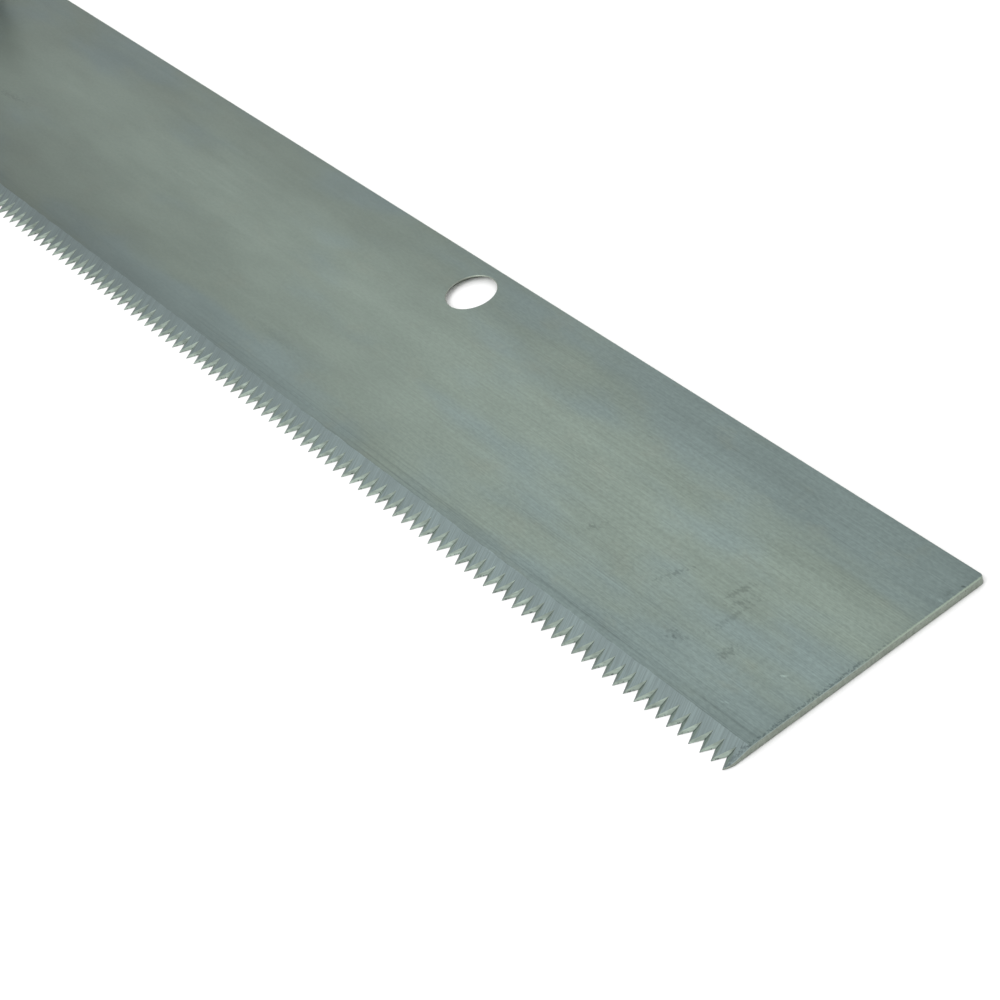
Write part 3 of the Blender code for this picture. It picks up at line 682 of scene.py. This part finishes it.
def blade_steel():
    mat = Surface("blade_steel", metallic=1.0)
    place = blade_place(mat)
    fine = mat.noise((32, 5200, 1), 3, 0.6)
    wide = mat.noise((14, 900, 1), 3)
    lines = mat.math("ADD", mat.product(fine, 0.6), mat.product(wide, 0.4))
    grind = mat.noise((5200, 130, 1), 3, turn=CROSS_GRIND)
    y, z = mat.axis("Y"), mat.axis("Z")
    wander = mat.noise((300, 0, 0))
    edge = mat.math("MULTIPLY_ADD", wander, 0.3 * MM, TIP_Y + GROUND_STRIP - 0.15 * MM)
    below_edge = mat.minus(edge, y)
    is_ground = mat.product(mat.fade(below_edge, -0.05 * MM, 0.05 * MM),
                            mat.fade(z, 0.05 * MM, 0.1 * MM))
    colour = mat.blend(is_ground, brushed_body(mat, *place, lines), ground_strip(mat, grind))
    # painted shade, darker away from the toe
    colour = mat.shaded(colour, painted_far_shade(mat, *place))
    mat.colour(toe_rim(mat, *place, colour))
    mat.roughness(lines, 0.34, 0.46)
    mat.bump(mat.blend(is_ground, lines, grind), 0.004 * MM, 0.6)
    return mat.material


def filed_flank():
    """Towards the heel each gullet has a steep side in painted shade, towards the toe a wide side painted
    bright as if lit.
    """
    mat = Surface("filed_flank", metallic=1.0, roughness=0.36)
    phase = gullet_phase(mat)[0]
    file_lines = mat.noise((500, 500, 5200), 3)
    pits = mat.noise(2600, 3, 0.6)
    cloud = mat.noise(700)
    uneven = mat.product(mat.swing(file_lines, 0.2), mat.swing(cloud, 0.2))
    # painted light: the wide side is painted bright
    bright = mat.shaded(PAINTED_LIT_FLANK, uneven)
    low = mat.fade(mat.axis("Z"), 0.26 * MM, 0.04 * MM)
    bright = mat.blend(mat.product(mat.fade(pits, 0.54, 0.62), low, 0.8), bright, PITTED)
    # painted shade on the steep side, darkest at the gullet root
    steep_painted_shade = mat.blend(mat.fade(phase, 0.36, GULLET_ROOT), PAINTED_SHADE_FLANK, PAINTED_SHADE_FLANK_DEEP)
    is_steep = mat.fade(phase, GULLET_ROOT + 0.005, GULLET_ROOT - 0.005)
    colour = mat.blend(is_steep, bright, steep_painted_shade)
    # painted shade, darker away from the toe
    mat.colour(mat.shaded(colour, painted_far_shade(mat, *blade_place(mat))))
    mat.roughness(file_lines, 0.3, 0.45)
    mat.bump(file_lines, 0.01 * MM)
    return mat.material


def sheared_edge():
    mat = Surface("sheared_edge", metallic=1.0, roughness=0.5)
    rag = mat.noise((2500, 2500, 900), 3)
    streak = mat.noise((1500, 1500, 9000))
    tan = mat.shaded(EDGE_TAN, mat.product(mat.swing(rag, 0.12), mat.swing(streak, 0.10)))
    mat.colour(mat.blend(mat.fade(rag, 0.68, 0.76, 0, 0.6), tan, PITTED))
    mat.bump(rag, 0.01 * MM)
    return mat.material


# Carrier plate

def carrier_outline():
    """Back edge, round nose about the clamp bolt, then a slope out to the wide heel part."""
    low, high, corner = CARRIER_LOW, CARRIER_HIGH, CARRIER_CORNER
    outline = arc((low.x + corner, low.y + corner), corner, 180, 270, 12)
    outline.append((CARRIER_SHOULDER_X, low.y))
    outline += arc(BOLT_AXIS.xy, high.y - BOLT_AXIS.y, -60, 90, 36)
    outline += arc((low.x + corner, high.y - corner), corner, 90, 180, 12)
    return outline


def make_carrier():
    """Plate with a lip behind the blade's back edge and one behind its heel."""
    low, high = CARRIER_LOW, CARRIER_HIGH
    under = high.z - CARRIER_THICKNESS
    inside = high.z - CARRIER_THICKNESS / 2
    plate = at(outline_mesh("carrier_detail", carrier_outline(), under, high.z))
    back_lip = box_mesh("back_lip", (BACK_LIP_X[0], BACK_Y + GAP, low.z), (BACK_LIP_X[1], high.y, inside))
    heel_lip = box_mesh("heel_lip", (low.x, low.y + LIP_END_INSET, low.z),
                        (HEEL_X - GAP, BACK_Y - LIP_END_INSET, inside))
    plate = cut(plate, [at(back_lip), at(heel_lip)], "UNION")
    half = BOLT_RADIUS + GAP
    holes = [at(box_mesh("neck_hole", (-half, -half, 0), (half, half, 2 * high.z)), (*BOLT_AXIS.xy, 0))]
    radius = RIVET_RADIUS + GAP
    for place in rivet_places():
        holes.append(at(cylinder_mesh("rivet_hole", radius, 0, 2 * high.z, 48), place))
        holes.append(at(cylinder_mesh("rivet_sink", radius + RIVET_SINK + MM, under - MM,
                                      under + RIVET_SINK, 48, radius), place))
    plate = edge_break(cut(plate, holes), CARRIER_EDGE_BREAK)
    smooth(plate)
    finish_piece(plate, "saw", "carrier_plate", "carrier_enamel", worn_enamel())


def worn_enamel():
    """Dark stoved enamel, a little orange peel, rubbed to bare steel along its edges."""
    mat = Surface("worn_enamel", roughness=0.36, Coat_Weight=0.25, Coat_Roughness=0.15)
    rag = mat.noise(420, 5, 0.65)
    peel = mat.noise(1300, 1)
    dust = mat.noise((70, 160, 70), 4)
    scratch = mat.noise((60, 2600, 60), turn=0.5)
    bare = mat.edge_wear(0.7 * MM, rag)
    scratched = mat.product(mat.fade(scratch, 0.66, 0.72), mat.fade(dust, 0.45, 0.6))
    paint = mat.blend(mat.fade(dust, 0.35, 0.7), (0.030, 0.040, 0.038), (0.045, 0.054, 0.050))
    paint = mat.blend(mat.product(scratched, 0.5), paint, (0.13, 0.14, 0.14))
    steel = mat.shaded((0.34, 0.34, 0.33), mat.swing(rag, 0.3))
    mat.colour(mat.blend(bare, paint, steel))
    mat.metallic(bare)
    mat.roughness(dust, 0.30, 0.46)
    mat.bump(mat.minus(peel, bare), 0.03 * MM, 0.5)
    return mat.material


# Clamp

def threaded_rod(name, radius, low, high):
    """A rod with a helical thread and a chamfered upper end, standing on the origin's axis."""
    around, rows_a_pitch = 64, 14
    count = round((high - low) / THREAD_PITCH * rows_a_pitch)
    bm = bmesh.new()
    rings = []
    for j in range(count + 1):
        z = low + (high - low) * j / count
        ring = []
        for i in range(around):
            phase = (z / THREAD_PITCH - i / around) % 1
            groove = min(1, max(0, 1.3 * abs(2 * phase - 1) - 0.15))
            r = min(radius - THREAD_DEPTH * groove, radius - THREAD_CHAMFER + high - z)
            angle = 2 * math.pi * i / around
            ring.append(bm.verts.new((r * math.cos(angle), r * math.sin(angle), z)))
        rings.append(ring)
    for below, above in zip(rings, rings[1:]):
        for i in range(around):
            k = (i + 1) % around
            bm.faces.new((below[i], below[k], above[k], above[i]))
    bm.faces.new(rings[0][::-1])
    bm.faces.new(rings[-1])
    return mesh_from(bm, name)


def make_clamp_bolt():
    """Flush countersunk head with a hexagon socket, square neck, then the thread."""
    head = (BOLT_HIGH.x - BOLT_LOW.x) / 2
    neck_low, neck_high = CARRIER_HIGH.z - CARRIER_THICKNESS, CARRIER_HIGH.z
    inside, top = BOLT_RADIUS - 0.3 * MM, neck_high - 0.5 * MM
    profile = [(0, top), (inside, top), (inside, neck_low), (head, 0.25 * MM), (head, 0), (0, 0)]
    bolt = baked(turned("clamp_bolt_detail", profile))
    neck = box_mesh("neck", (-BOLT_RADIUS, -BOLT_RADIUS, neck_low), (BOLT_RADIUS, BOLT_RADIUS, neck_high))
    neck = edge_break(at(neck), 0.25 * MM, 2)
    rod = at(threaded_rod("rod", BOLT_RADIUS, neck_high - MM, BOLT_HIGH.z))
    bolt = cut(bolt, [neck, rod], "UNION")
    socket = cylinder_mesh("socket", SOCKET_RADIUS, -MM, SOCKET_DEPTH, 6)
    mouth = cylinder_mesh("socket_mouth", SOCKET_RADIUS + 1.1 * MM, -MM, 0.2 * MM, 48,
                          top_radius=SOCKET_RADIUS - 0.1 * MM)
    bolt = cut(bolt, [at(socket), at(mouth)])
    bolt.data.transform(Matrix.Translation((*BOLT_AXIS.xy, 0)))
    smooth(bolt, 30)
    finish_piece(bolt, "saw", "clamp_bolt", "zinc_plate", zinc_plate("bolt_zinc", 0.0))


def make_washer():
    low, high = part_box("captive_washer")
    outer = (high.x - low.x) / 2
    inner = BOLT_RADIUS + SLIDING_GAP
    corners = [(inner, high.z, 0.25 * MM), (outer, high.z, 0.45 * MM),
               (outer, low.z, 0.15 * MM), (inner, low.z, 0.1 * MM)]
    washer = turned("captive_washer_detail", rounded(corners, closed=True), closed=True)
    washer.location = (*BOLT_AXIS.xy, 0)
    washer = baked(washer)
    smooth(washer, 25)
    finish_piece(washer, "clamp_washer", "captive_washer", "zinc_plate", zinc_plate("washer_zinc", 0.12))


def wing_outline():
    """Both wings and the web between them, seen from the side, with z up as y here."""
    foot, half = NUT_LOW.z, (NUT_HIGH.x - NUT_LOW.x) / 2
    tip, neck = WING_TIP_RADIUS, 5 * MM
    right = [(0, foot + 1.5 * MM), (neck, foot + 1.5 * MM), (half - 3.5 * MM, foot + 5.2 * MM)]
    right += arc((half - tip, NUT_HIGH.z - tip), tip, -35, 150, 24)
    right += [(6.6 * MM, foot + 7.8 * MM), (neck, foot + NUT_BODY_HEIGHT - 1.5 * MM)]
    return right + [(-x, z) for x, z in reversed(right[1:])]


def make_wing_nut():
    """Cast body and thumb wings blended together, then bored and faced."""
    foot, half = NUT_LOW.z, (NUT_HIGH.x - NUT_LOW.x) / 2
    top = foot + NUT_BODY_HEIGHT
    foot_radius = (NUT_HIGH.y - NUT_LOW.y) / 2
    cast_foot = foot - 0.3 * MM
    profile = [(0, top), (NUT_TOP_RADIUS, top), (NUT_TOP_RADIUS + 0.5 * MM, top - 0.7 * MM),
               (foot_radius, foot + 1.2 * MM), (foot_radius, cast_foot), (0, cast_foot)]
    nut = baked(turned("wing_nut_detail", profile))
    wings = upright(outline_mesh("wings", wing_outline(), -WING_HALF_THICKNESS, WING_HALF_THICKNESS))
    for vertex in wings.vertices:
        vertex.co.y *= 1.35 - 0.4 * abs(vertex.co.x) / half
    nut = cut(nut, [at(wings)], "UNION")
    nut = forged(nut, 0.24 * MM, 12)
    tools = (
        cylinder_mesh("bore", BOLT_RADIUS + SLIDING_GAP, foot - MM, NUT_HIGH.z),
        cylinder_mesh("lead_in", BOLT_RADIUS - 0.2 * MM, top - 0.9 * MM, top + MM,
                      top_radius=BOLT_RADIUS + 1.7 * MM),
        cylinder_mesh("facing", 2 * foot_radius, foot - CUT_REACH, foot),
    )
    nut = cut(nut, [at(tool) for tool in tools])
    nut.data.transform(Matrix.Translation((*BOLT_AXIS.xy, 0)))
    smooth(nut, 40)
    finish_piece(nut, "clamp_nut", "wing_nut", "zinc_plate", zinc_plate("nut_zinc", 0.35))


def zinc_plate(name, grain):
    """Bright zinc with faint blue and straw tints, dulled in patches; grain is the cast texture."""
    mat = Surface(name, metallic=1.0)
    cloud = mat.noise(160, 4, 0.6)
    spangle = mat.noise(900)
    tint = mat.blend(mat.fade(cloud, 0.35, 0.65), (0.46, 0.49, 0.52), (0.54, 0.53, 0.48))
    dirt = mat.product(mat.fade(spangle, 0.55, 0.75), mat.fade(cloud, 0.4, 0.7))
    tint = mat.shaded(tint, mat.swing(spangle, 0.10))
    mat.colour(mat.blend(mat.product(dirt, 0.5), tint, (0.16, 0.15, 0.13)))
    mat.roughness(cloud, 0.24, 0.42)
    cast = mat.noise(1500)
    mat.bump(cast, 0.03 * MM, 0.15 + grain)
    return mat.material


# Tang and rivets

def rivet_places():
    places = []
    for i in (1, 2, 3):
        low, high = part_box("tang_rivet_%d" % i)
        places.append(((low.x + high.x) / 2, (low.y + high.y) / 2, 0))
    return places


def tang_centreline():
    """Flat on the carrier, up the crank, then level into the bolster, as (x, z)."""
    low_z = CARRIER_HIGH.z + GAP + TANG_THICKNESS / 2
    r, angle = TANG_BEND_RADIUS, math.degrees(CRANK_ANGLE)
    slope = HANDLE_AXIS_Z - low_z - 2 * r * (1 - math.cos(CRANK_ANGLE))
    upper_x = CRANK_START_X - 2 * r * math.sin(CRANK_ANGLE) - slope / math.tan(CRANK_ANGLE)
    points = [(TANG_HIGH.x, low_z)]
    points += arc((CRANK_START_X, low_z + r), r, -90, -90 - angle, 16)
    points += arc((upper_x, HANDLE_AXIS_Z - r), r, 90 - angle, 90, 16)
    points.append((HANDLE_FRONT_X + 2 * MM, HANDLE_AXIS_Z))
    return points


def strip_outline(centreline, thickness):
    left, right = [], []
    last = len(centreline) - 1
    for i, point in enumerate(centreline):
        along = (Vector(centreline[min(i + 1, last)]) - Vector(centreline[max(i - 1, 0)])).normalized()
        across = Vector((-along.y, along.x)) * thickness / 2
        left.append(tuple(Vector(point) + across))
        right.append(tuple(Vector(point) - across))
    return left + right[::-1]


def make_tang():
    """Cranked bar that narrows to its bolster, with the rod that runs through the handle."""
    side = strip_outline(tang_centreline(), TANG_THICKNESS)
    bar = upright(outline_mesh("tang_detail", side, -TANG_HALF_WIDTH, TANG_HALF_WIDTH))
    for vertex in bar.vertices:
        share = (CRANK_START_X - vertex.co.x) / (CRANK_START_X - HANDLE_FRONT_X)
        vertex.co.y *= 1 - TANG_TAPER * min(1, max(0, share))
    bolster = [(0, 5.2 * MM, 0), (7.6 * MM, 5.2 * MM, 1.2 * MM), (8.6 * MM, 2.8 * MM, 0.6 * MM),
               (10 * MM, 1.8 * MM, 0.5 * MM), (10 * MM, GAP, 0.3 * MM), (0, GAP, 0)]
    end = TANG_LOW.x - HANDLE_FRONT_X
    rod = turned("rod", [(0, 2 * MM), (TANG_ROD_RADIUS, 2 * MM), (TANG_ROD_RADIUS, end + MM), (0, end)], 48)
    joined = [along_handle(turned("bolster", rounded(bolster))), along_handle(rod)]
    tang = cut(at(bar), joined, "UNION")
    tang = forged(tang, 0.4 * MM, 16)
    holes = [at(cylinder_mesh("rivet_hole", RIVET_RADIUS + ROD_GAP, 0, HANDLE_AXIS_Z, 48), place)
             for place in rivet_places()]
    tang = cut(tang, holes)
    smooth(tang, 40)
    finish_piece(tang, "saw", "tang", "forged_steel", forged_steel())


def forged_steel():
    """Blue-black scale, hammered unevenly, rubbed bright on the edges."""
    mat = Surface("forged_steel", metallic=1.0)
    hammer = mat.noise(210, 2, 0.4)
    scale = mat.noise(1200, 4, 0.6)
    patch = mat.noise(90, 4, move=(0, 0, 0.4))
    bare = mat.edge_wear(1.1 * MM, mat.product(scale, 0.85))
    dark = mat.blend(mat.fade(patch, 0.35, 0.65), (0.070, 0.072, 0.082), (0.125, 0.112, 0.100))
    dark = mat.shaded(dark, mat.swing(scale, 0.35))
    mat.colour(mat.blend(mat.product(bare, 0.8), dark, (0.36, 0.35, 0.34)))
    mat.roughness(scale, 0.36, 0.58)
    mat.bump(mat.math("MULTIPLY_ADD", hammer, 3.0, scale), 0.07 * MM, 0.5)
    return mat.material


def make_rivets():
    """Flush below, where the blade lies, and hammered round above."""
    material = rivet_steel("rivet_steel")
    for i, place in enumerate(rivet_places()):
        node = "tang_rivet_%d" % (i + 1)
        low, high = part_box(node)
        head = (high.x - low.x) / 2
        head_z = high.z - RIVET_HEAD_HEIGHT
        steps = 14
        profile = [(0, high.z - 0.02 * MM)]
        for j in range(1, steps + 1):
            angle = math.pi / 2 * j / steps
            profile.append((head * math.sin(angle) ** 0.9, head_z + RIVET_HEAD_HEIGHT * math.cos(angle)))
        profile += [(RIVET_RADIUS, head_z), (RIVET_RADIUS, low.z + RIVET_SINK)]
        profile += [(RIVET_RADIUS + RIVET_SINK, low.z), (0, low.z)]
        rivet = turned(node + "_detail", profile, 64)
        rivet.location = place
        rivet = baked(rivet)
        smooth(rivet, 50)
        finish_piece(rivet, "saw", node, "rivet_steel", material)


def rivet_steel(name):
    mat = Surface(name, metallic=1.0)
    dents = mat.noise(520, 1)
    grit = mat.noise(2200, 3)
    plain = mat.blend(mat.fade(dents, 0.4, 0.6), (0.30, 0.30, 0.30), (0.40, 0.39, 0.37))
    mat.colour(mat.shaded(plain, mat.swing(grit, 0.22)))
    mat.roughness(grit, 0.28, 0.48)
    mat.bump(mat.math("MULTIPLY_ADD", dents, 4.0, grit), 0.035 * MM, 0.6)
    return mat.material


# Handle: each turned piece has its local Z along the saw, towards the toe

def pin_place():
    low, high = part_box("ferrule_pin")
    return ((low.x + high.x) / 2, (low.y + high.y) / 2, 0), low.z, high.z


def make_ferrule():
    """A spun brass cup with two small beads around it and a rolled rear rim."""
    outer, inner = FERRULE_RADIUS, FERRULE_RADIUS - FERRULE_WALL
    eye = TANG_ROD_RADIUS + GAP
    back = FERRULE_LOW.x - FERRULE_HIGH.x
    corners = [(eye, 0, 0.2 * MM), (outer - 0.5 * MM, 0, 1.1 * MM), (outer - 0.5 * MM, -2.6 * MM, 0.2 * MM)]
    bead = ((0.35, 0, 0.2), (0.05, 0.5, 0.2), (0.05, 0.9, 0.15), (0.4, 1.2, 0.15))
    for place in (-3.2 * MM, -13.6 * MM):
        corners += [(outer - below * MM, place - along * MM, bend * MM) for below, along, bend in bead]
    corners += [(outer - 0.4 * MM, back + 2.2 * MM, 0.3 * MM), (outer, back + 1.6 * MM, 0.4 * MM),
                (outer, back, 0.5 * MM), (inner, back, 0.2 * MM), (inner, -FERRULE_WALL, 0.3 * MM),
                (eye, -FERRULE_WALL, 0.1 * MM)]
    ferrule = along_handle(turned("ferrule_detail", rounded(corners, closed=True), closed=True))
    place, low, high = pin_place()
    hole = at(cylinder_mesh("pin_hole", PIN_RADIUS + SLIDING_GAP, low, high + MM, 48), place)
    ferrule = cut(ferrule, [hole])
    smooth(ferrule, 30)
    finish_piece(ferrule, "saw", "ferrule", "brass", brass("ferrule_brass"))


def make_ferrule_pin():
    place, low, high = pin_place()
    profile = rounded([(0, high, 0), (PIN_RADIUS, high - 0.15 * MM, 0.3 * MM), (PIN_RADIUS, low, 0.1 * MM),
                       (0, low, 0)])
    pin = turned("ferrule_pin_detail", profile, 32)
    pin.location = place
    pin = baked(pin)
    smooth(pin, 40)
    finish_piece(pin, "saw", "ferrule_pin", "rivet_steel", rivet_steel("pin_steel"))


def smooth_through(stations, steps):
    """A Catmull-Rom line through (place, radius) stations."""
    points = []
    last = len(stations) - 1
    for i in range(last):
        before, a, b, after = (Vector(stations[max(0, min(last, i + k))]) for k in (-1, 0, 1, 2))
        for j in range(steps):
            t = j / steps
            bend = (2 * before - 5 * a + 4 * b - after) * t ** 2 + (3 * a - before - 3 * b + after) * t ** 3
            points.append(tuple(0.5 * (2 * a + (b - before) * t + bend)))
    points.append(tuple(stations[last]))
    return points


def scored(place, radius):
    """The turned outline with two fine scored rings in the waist."""
    for ring in (SHOULDER + 14 * MM, SHOULDER + 16 * MM):
        radius -= SCORE_DEPTH * max(0, 1 - abs(place - ring) / SCORE_WIDTH)
    return min(radius, HANDLE_RADIUS)


def handle_profile():
    """Spigot for the ferrule, a bead, a waist, the swell for the palm and a round butt."""
    stations = [(SHOULDER + place * MM, radius * MM) for place, radius in HANDLE_STATIONS]
    stations += [(HANDLE_LENGTH - 4 * MM, 12.6 * MM), (HANDLE_LENGTH, 9.2 * MM)]
    spigot = FERRULE_RADIUS - FERRULE_WALL - 0.2 * MM
    bore = TANG_ROD_RADIUS + 0.2 * MM
    profile = [(bore, -1.5 * MM), (spigot, -1.5 * MM), (spigot, -SHOULDER + 0.05 * MM)]
    profile += [(scored(place, radius), -place) for place, radius in smooth_through(stations, 24)]
    profile += [(8.6 * MM, -HANDLE_LENGTH), (bore, -HANDLE_LENGTH)]
    return profile


def make_handle():
    handle = along_handle(turned("handle_detail", handle_profile(), 160, closed=True))
    place, low, high = pin_place()
    hole = cylinder_mesh("pin_hole", PIN_RADIUS + ROD_GAP, low - GAP, high, 32)
    handle = cut(handle, [at(hole, place)])
    smooth(handle, 40)
    finish_piece(handle, "saw", "handle", "beech", beech())


def beech():
    """Rings about a pith outside the handle, fine pores, and the short dark flecks of beech."""
    mat = Surface("beech", roughness=0.4, Coat_Weight=0.2, Coat_Roughness=0.25)
    warp = mat.noise((7, 28, 28), 3)
    radial = mat.vector_math("LENGTH", mat.mapped((0, 1, 1), PITH))
    grown = mat.math("MULTIPLY_ADD", warp, 3.6 * MM, radial.outputs["Value"])
    wave = mat.math("SINE", mat.product(grown, 2 * math.pi / GROWTH_RING))
    rings = mat.fade(wave, -1, 1)
    pores = mat.noise((160, 2600, 2600), 3, 0.6)
    fleck = mat.noise((400, 3400, 2400), 0, move=(0, 0.2, 0))
    discolour = mat.noise((18, 45, 45), 3, move=(0.5, 0, 0))
    wood = mat.blend(rings, (0.50, 0.285, 0.130), (0.405, 0.212, 0.090))
    wood = mat.shaded(wood, mat.product(mat.swing(pores, 0.20), mat.swing(discolour, 0.14)))
    dashes = mat.fade(fleck, 0.66, 0.72)
    wood = mat.blend(mat.product(dashes, 0.45), wood, (0.17, 0.075, 0.030))
    # darker towards the ferrule
    from_front = mat.minus(HANDLE_FRONT_X - SHOULDER, mat.axis("X"))
    ragged = mat.math("MULTIPLY_ADD", discolour, 6 * MM, from_front)
    darkening = mat.product(mat.fade(ragged, 9 * MM, 2 * MM), 0.3)
    mat.colour(mat.blend(darkening, wood, (0.12, 0.07, 0.04)))
    mat.roughness(pores, 0.34, 0.52)
    mat.bump(mat.math("MULTIPLY_ADD", dashes, -0.6, pores), 0.04 * MM, 0.5)
    return mat.material


def make_butt_washer():
    low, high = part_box("butt_washer")
    outer = (high.y - low.y) / 2
    inner = TANG_ROD_RADIUS + ROD_GAP
    front, back = high.x - HANDLE_FRONT_X, low.x - HANDLE_FRONT_X
    corners = [(inner, front, 0), (outer, front, 0.2 * MM), (outer, back, 0.6 * MM), (inner, back, 0.2 * MM)]
    washer = along_handle(turned("butt_washer_detail", rounded(corners, closed=True), closed=True))
    smooth(washer, 25)
    finish_piece(washer, "saw", "butt_washer", "brass", brass("washer_brass"))


def make_butt_nut():
    """Domed nut: a turned blank whose foot is milled to a hexagon."""
    low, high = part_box("butt_nut")
    foot, tip = high.x - HANDLE_FRONT_X, low.x - HANDLE_FRONT_X
    corner = BUTT_NUT_FLATS / math.sqrt(3)
    hex_end = tip + DOME_HEIGHT
    profile = [(0, foot), (corner - 0.9 * MM, foot), (corner, foot - 0.5 * MM),
               (corner, hex_end + 0.7 * MM), (corner - 1.2 * MM, hex_end)]
    steps = 20
    for i in range(steps + 1):
        angle = math.pi / 2 * i / steps
        profile.append((DOME_RADIUS * math.cos(angle), hex_end - DOME_HEIGHT * math.sin(angle)))
    nut = along_handle(turned("butt_nut_detail", profile))
    prism = along_handle(at(cylinder_mesh("prism", corner, tip - MM, foot + MM, 6)))
    nut = cut(nut, [prism], "INTERSECT")
    bore = cylinder_mesh("blind", TANG_ROD_RADIUS + 0.15 * MM, hex_end, foot + MM, 48)
    nut = cut(nut, [along_handle(at(bore))])
    nut = edge_break(nut, 0.15 * MM, 2)
    smooth(nut, 35)
    finish_piece(nut, "saw", "butt_nut", "brass", brass("nut_brass"))


def brass(name):
    """Turned brass with fine tool lines, browned where it isn't rubbed."""
    mat = Surface(name, metallic=1.0)
    tool = mat.noise((7000, 60, 60))
    cloud = mat.noise(150, 5, 0.6)
    spots = mat.noise(1100, 3)
    bright = mat.shaded((0.60, 0.41, 0.155), mat.swing(tool, 0.14))
    tarnish = mat.product(mat.fade(cloud, 0.42, 0.68), 0.65)
    colour = mat.blend(tarnish, bright, (0.27, 0.160, 0.060))
    dark = mat.product(mat.fade(spots, 0.62, 0.70), mat.fade(cloud, 0.4, 0.6), 0.7)
    mat.colour(mat.blend(dark, colour, (0.09, 0.055, 0.025)))
    mat.roughness(cloud, 0.20, 0.44)
    mat.bump(mat.math("MULTIPLY_ADD", spots, 0.5, tool), 0.008 * MM, 0.6)
    return mat.material


# Scene

def make_floor():
    bm = bmesh.new()
    bmesh.ops.create_grid(bm, x_segments=1, y_segments=1, size=15)
    floor = at(mesh_from(bm, "floor"), (0, 0, -FLOOR_GAP))
    floor.data.materials.append(Surface("floor", roughness=0.7, colour=(0.9, 0.9, 0.9)).material)


def make_world():
    """An even pale studio, brightest overhead."""
    world = bpy.data.worlds.new("studio")
    world.use_nodes = True
    nodes, links = world.node_tree.nodes, world.node_tree.links
    place = nodes.new("ShaderNodeTexCoord").outputs["Generated"]
    split = nodes.new("ShaderNodeSeparateXYZ")
    links.new(place, split.inputs[0])
    height = nodes.new("ShaderNodeMapRange")
    links.new(split.outputs["Z"], height.inputs["Value"])
    for name, value in (("From Min", -0.05), ("From Max", 0.75), ("To Min", 0.88), ("To Max", 1.0)):
        height.inputs[name].default_value = value
    links.new(height.outputs["Result"], nodes["Background"].inputs["Strength"])
    nodes["Background"].inputs["Color"].default_value = (1, 1, 1, 1)
    bpy.context.scene.world = world


def make_light(name, place, size, power):
    """A square lamp aimed at the middle of the saw; size in metres, power in watts."""
    light = bpy.data.lights.new(name, "AREA")
    light.size = size
    light.energy = power
    obj = bpy.data.objects.new(name, light)
    bpy.context.scene.collection.objects.link(obj)
    obj.location = place
    obj.rotation_euler = (-Vector(place)).to_track_quat("-Z", "Y").to_euler()


def make_camera():
    camera = bpy.data.objects.new("camera", bpy.data.cameras.new("camera"))
    bpy.context.scene.collection.objects.link(camera)
    camera.data.sensor_width = CAMERA_SENSOR
    camera.data.lens = CAMERA_LENS
    camera.data.clip_start = 0.01
    camera.location = CAMERA_PLACE
    camera.rotation_mode = "QUATERNION"
    level = CAMERA_FORWARD.to_track_quat("-Z", "Y")
    camera.rotation_quaternion = level @ Quaternion((0, 0, 1), CAMERA_ROLL)
    bpy.context.scene.camera = camera


def main():
    bpy.context.scene.view_settings.view_transform = "Standard"
    make_camera()
    make_world()
    make_light("key", (0.2, -1.2, 1.6), 1.2, 14)
    make_light("fill", (-1.2, 1.0, 1.3), 1.4, 8)
    make_floor()
    make_blade()
    make_carrier()
    make_clamp_bolt()
    make_washer()
    make_wing_nut()
    make_tang()
    make_rivets()
    make_ferrule()
    make_ferrule_pin()
    make_handle()
    make_butt_washer()
    make_butt_nut()


main()
